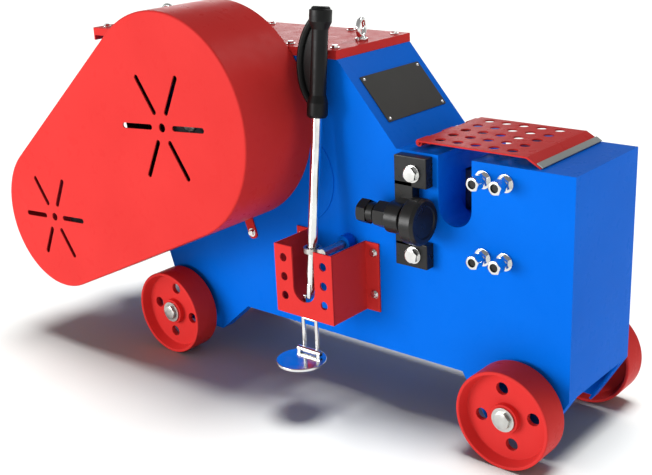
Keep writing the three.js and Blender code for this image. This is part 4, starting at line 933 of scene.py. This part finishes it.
def blade_studs():
    """Washer, nut and long sleeve nut on each stud, with the stud's end set back in the bore and
    coloured black as painted shade for the deep bore.
    """
    radius, thick = STUD["washer"]
    corner, bore, nut = STUD["corner"], STUD["bore"], STUD["nut"]
    seat = -GAP - thick
    out = (0, -1, 0)
    ends = Form()
    for i, (x, z) in enumerate(STUDS):
        form = Form()
        form.washer((x, -GAP, z), out, radius, thick, bore)
        form.hexagon((x, seat, z), out, corner, nut, bore)
        form.hexagon((x, seat - nut - STUD["gap"], z), out, corner, STUD["sleeve"], bore, STUD_TURN)
        form.finish(f"stud_nuts_{i + 1}", "chrome_plate", "root", f"blade_stud_{i + 1}")
        # The stud's end is black: painted shade at the bottom of the sleeve nut's bore.
        ends.lathe(STUD_END, (x, 0, z), steps=40)
    ends.finish("stud_ends", "black_paint", "root")


# -------- lid, plate and fasteners
def eye_bolts():
    for name, turn in EYE_TURNS.items():
        low, high = span(name)
        x, y = (low.x + high.x) / 2, (low.y + high.y) / 2
        across = math.radians(turn) + math.pi / 2
        normal = Vector((math.cos(across), math.sin(across), 0))
        form = Form()
        wire = [(p.x, EYE["radius"] + p.y) for p in circle(0, 0, EYE["wire"], 20)]
        form.lathe(wire, (x, y, LID_TOP + EYE["up"]), normal, True, 64)
        stem = rounded(EYE_STEM, 1.2, closed=False)
        form.lathe(stem, (x, y, LID_TOP), (0, 0, 1), steps=64)
        form.finish(f"{name}_ring", "chrome_plate", "root", name)


def name_plate():
    """A blank plate on the slope with a rivet in each corner."""
    foot = SLOPE["foot"]
    up = (SLOPE["top"] - foot).normalized()
    out = Vector((up.y, -up.x))

    def on_slope(a, b, depth):
        spot = foot + up * a + out * depth
        return Vector((spot.x, b, spot.y))

    low, high = PLATE["up"] - PLATE["high"] / 2, PLATE["up"] + PLATE["high"] / 2
    near, far = PLATE["mid"] - PLATE["wide"] / 2, PLATE["mid"] + PLATE["wide"] / 2
    form = Form()
    outline = rounded([(low, near), (high, near), (high, far), (low, far)], 3)
    form.plate(outline, [], GAP, PLATE["thick"] + 0.1, on_slope, edge=0.4)
    form.finish("plate_blank", "dark_plate", "root", "nameplate")

    rivets = Form()
    axis = Vector((out.x, 0, out.y))
    inset_up, inset_across = PLATE["inset"]
    for a in (low + inset_up, high - inset_up):
        for b in (near + inset_across, far - inset_across):
            rivets.lathe(RIVET, on_slope(a, b, PLATE["thick"]), axis, steps=32)
    rivets.finish("plate_rivets", "chrome_plate", "root")


def fasteners():
    """The bolts of the lid, the bracket's flanges, the guard's tab and the cover's hinge."""
    form = Form()
    for i in range(LID_BOLTS["count"]):
        x = LID_BOLTS["first"] - LID_BOLTS["pitch"] * i
        for y in LID_BOLTS["rows"]:
            form.bolt((x, y, LID_TOP), (0, 0, 1), *LID_BOLTS["size"])
    edge = FLANGE["out"] - FLANGE["bolt_in"]
    for x in (BRACKET["left"] - edge, BRACKET["right"] + edge):
        for z in FLANGE["bolts"]:
            form.bolt((x, -BRACKET["sheet"], z), (0, -1, 0), *FLANGE["size"])
    tab_face = -GAP - GUARD["sheet"]
    form.bolt((GUARD_TAB["x"], tab_face, GUARD_BOLT["z"]), (0, -1, 0), *GUARD_BOLT["size"])
    for y in HINGE_SCREWS["rows"]:
        form.bolt((HINGE_SCREWS["x"], y, HINGE_SCREWS["z"]), (0, 0, 1), *HINGE_SCREWS["size"])
    form.finish("small_bolts", "chrome_plate", "root")


# -------- feet, ram and crank cover
def foot_returns():
    """The inturned edges along the feet's slopes, on both side walls."""
    form = Form()
    wall, deep, sheet = FEET["wall"], FEET["return"], FEET["sheet"]
    for start, end, middle in FOOT_SLOPES:
        start, end = Vector(start), Vector(end)
        inward = Vector((start.y - end.y, end.x - start.x)).normalized()
        if inward.dot(Vector(middle) - start) < 0:
            start, end, inward = end, start, -inward
        outline = [start, end, end + inward * sheet, start + inward * sheet]
        form.plate(outline, [], wall - 1, wall + deep, edge=0.7)
        form.plate(outline, [], WIDTH - wall - deep, WIDTH - wall + 1, edge=0.7)
    form.finish("foot_returns", "blue_paint", "root")


def ram_nose():
    """The ram's painted nose on both sides of the moving blade, just behind the slot's wall."""
    form = Form()
    for near, far in RAM_NOSE_SIDES:
        low = (RAM_NOSE["back"], near, RAM_NOSE["low"])
        form.block(low, (RAM_NOSE["front"], far, RAM_NOSE["high"]), 1.2)
    form.finish("ram_nose", "blue_paint", "ram")


def crank_cover():
    low, high = span("crank_cover")
    centre = (low + high) / 2
    form = Form()
    profile = rounded(sleeve(0, CRANK_COVER["thick"], CRANK_COVER["radius"]), 0.7, closed=False)
    form.lathe(profile, (centre.x, high.y, centre.z), (0, -1, 0), steps=128)
    form.finish("crank_cover_disc", "blue_paint", "root", "crank_cover")


# -------- stage, in metres and degrees
CAMERA = {"azimuth": 40.51, "elevation": 18.99, "roll": -2.52, "place": (1.4735, -1.6152, 1.0477)}
LENS = {"length": 60.1, "sensor": 36, "shift_x": -0.0081, "shift_y": -0.0048}
OVERHEAD = {"place": (0.25, 0.3, 5), "power": 6.9, "spread": 28}
# Soft boxes: name, place, the height they aim at, power, width and height.
SOFT_BOXES = [
    ("front_left", (-1.9, -3.7, 1.0), 0.35, 130, (2.6, 1.8)),
    ("back_left", (-2.5, 3.0, 1.5), 0.5, 17, (2.0, 1.1)),
    ("back_right", (1.0, 2.4, 3.2), 0.5, 36, (1.8, 1.0)),
]
FLOOR = {"radius": 60, "shade": (176, 177, 175), "light": (181, 182, 180)}
SURROUND = {"horizon": 0.55, "top": 0.32, "top_from": 0.6}


def camera():
    """The photograph's viewing angle, from a camera fitted to the machine."""
    azimuth, elevation, roll = (math.radians(CAMERA[key]) for key in ("azimuth", "elevation", "roll"))
    back = Vector((
        math.sin(azimuth) * math.cos(elevation),
        -math.cos(azimuth) * math.cos(elevation),
        math.sin(elevation),
    ))
    right = Vector((math.cos(azimuth), math.sin(azimuth), 0))
    up = back.cross(right)
    across = right * math.cos(roll) + up * math.sin(roll)
    over = up * math.cos(roll) - right * math.sin(roll)
    data = bpy.data.cameras.new("camera")
    data.lens = LENS["length"]
    data.sensor_width = LENS["sensor"]
    data.shift_x = LENS["shift_x"]
    data.shift_y = LENS["shift_y"]
    data.clip_end = 100
    view = bpy.data.objects.new("camera", data)
    turn = Matrix((across, over, back)).transposed().to_4x4()
    view.matrix_world = Matrix.Translation(CAMERA["place"]) @ turn
    bpy.context.scene.collection.objects.link(view)
    bpy.context.scene.camera = view


def floor():
    """A plain floor, white under its own strong light and so deep grey in the shadows."""
    bm = bmesh.new()
    bmesh.ops.create_circle(bm, cap_ends=True, segments=96, radius=FLOOR["radius"])
    mesh = bpy.data.meshes.new("floor")
    bm.to_mesh(mesh)
    bm.free()
    look = Look("floor_paper", Roughness=0.95, Specular_IOR_Level=0.0)
    look.colour(look.noise(2, 3), FLOOR["shade"], FLOOR["light"])
    mesh.materials.append(look.material)
    sheet = bpy.data.objects.new("floor", mesh)
    bpy.context.scene.collection.objects.link(sheet)
    return sheet


def lamp(kind, name, place, height, power):
    """A lamp at `place` that shines towards a point above the middle of the machine's footprint."""
    data = bpy.data.lights.new(name, kind)
    data.energy = power
    light = bpy.data.objects.new(name, data)
    aim = Vector((0, 0, height)) - Vector(place)
    light.matrix_world = Matrix.Translation(place) @ aim.to_track_quat("-Z", "Y").to_matrix().to_4x4()
    bpy.context.scene.collection.objects.link(light)
    return light


def receivers(name, sheet, state):
    """A light-linking collection that has the floor as its only member, or leaves it out."""
    group = bpy.data.collections.new(name)
    group.objects.link(sheet)
    group.collection_objects[0].light_linking.link_state = state
    return group


def lights(sheet):
    """An overhead light for the floor alone, and soft boxes around the machine."""
    overhead = lamp("SUN", "overhead", OVERHEAD["place"], 0, OVERHEAD["power"])
    overhead.data.angle = math.radians(OVERHEAD["spread"])
    overhead.light_linking.receiver_collection = receivers("only_floor", sheet, "INCLUDE")
    others = receivers("all_but_floor", sheet, "EXCLUDE")
    for name, place, height, power, size in SOFT_BOXES:
        box = lamp("AREA", name, place, height, power)
        box.data.shape = "RECTANGLE"
        box.data.size, box.data.size_y = size
        box.light_linking.receiver_collection = others


def world():
    """A pale surround, brighter at the horizon than overhead."""
    surround = bpy.data.worlds.new("studio")
    bpy.context.scene.world = surround
    surround.use_nodes = True
    tree = surround.node_tree
    coords = tree.nodes.new("ShaderNodeTexCoord")
    split = tree.nodes.new("ShaderNodeSeparateXYZ")
    ramp = tree.nodes.new("ShaderNodeValToRGB")
    tree.links.new(coords.outputs["Generated"], split.inputs["Vector"])
    tree.links.new(split.outputs["Z"], ramp.inputs["Fac"])
    tree.links.new(ramp.outputs["Color"], tree.nodes["Background"].inputs["Color"])
    horizon, top = ramp.color_ramp.elements
    horizon.color = (*[SURROUND["horizon"]] * 3, 1)
    top.color = (*[SURROUND["top"]] * 3, 1)
    top.position = SURROUND["top_from"]
    bpy.context.scene.view_settings.view_transform = "Standard"


# -------- assembly
camera()
dress_cad_nodes()
for skin in SKINS:
    refined(*skin)
belt_guard()
guard_tab()
wheels_and_axles()
lever_tube()
lever_grip()
pedal_fork()
pedal_disc()
lever_bracket()
safety_cover()
cover_lip()
rest_casting()
rest_screw()
rest_nut()
rest_bolts()
blade_studs()
eye_bolts()
name_plate()
fasteners()
crank_cover()
foot_returns()
ram_nose()
lights(floor())
world()
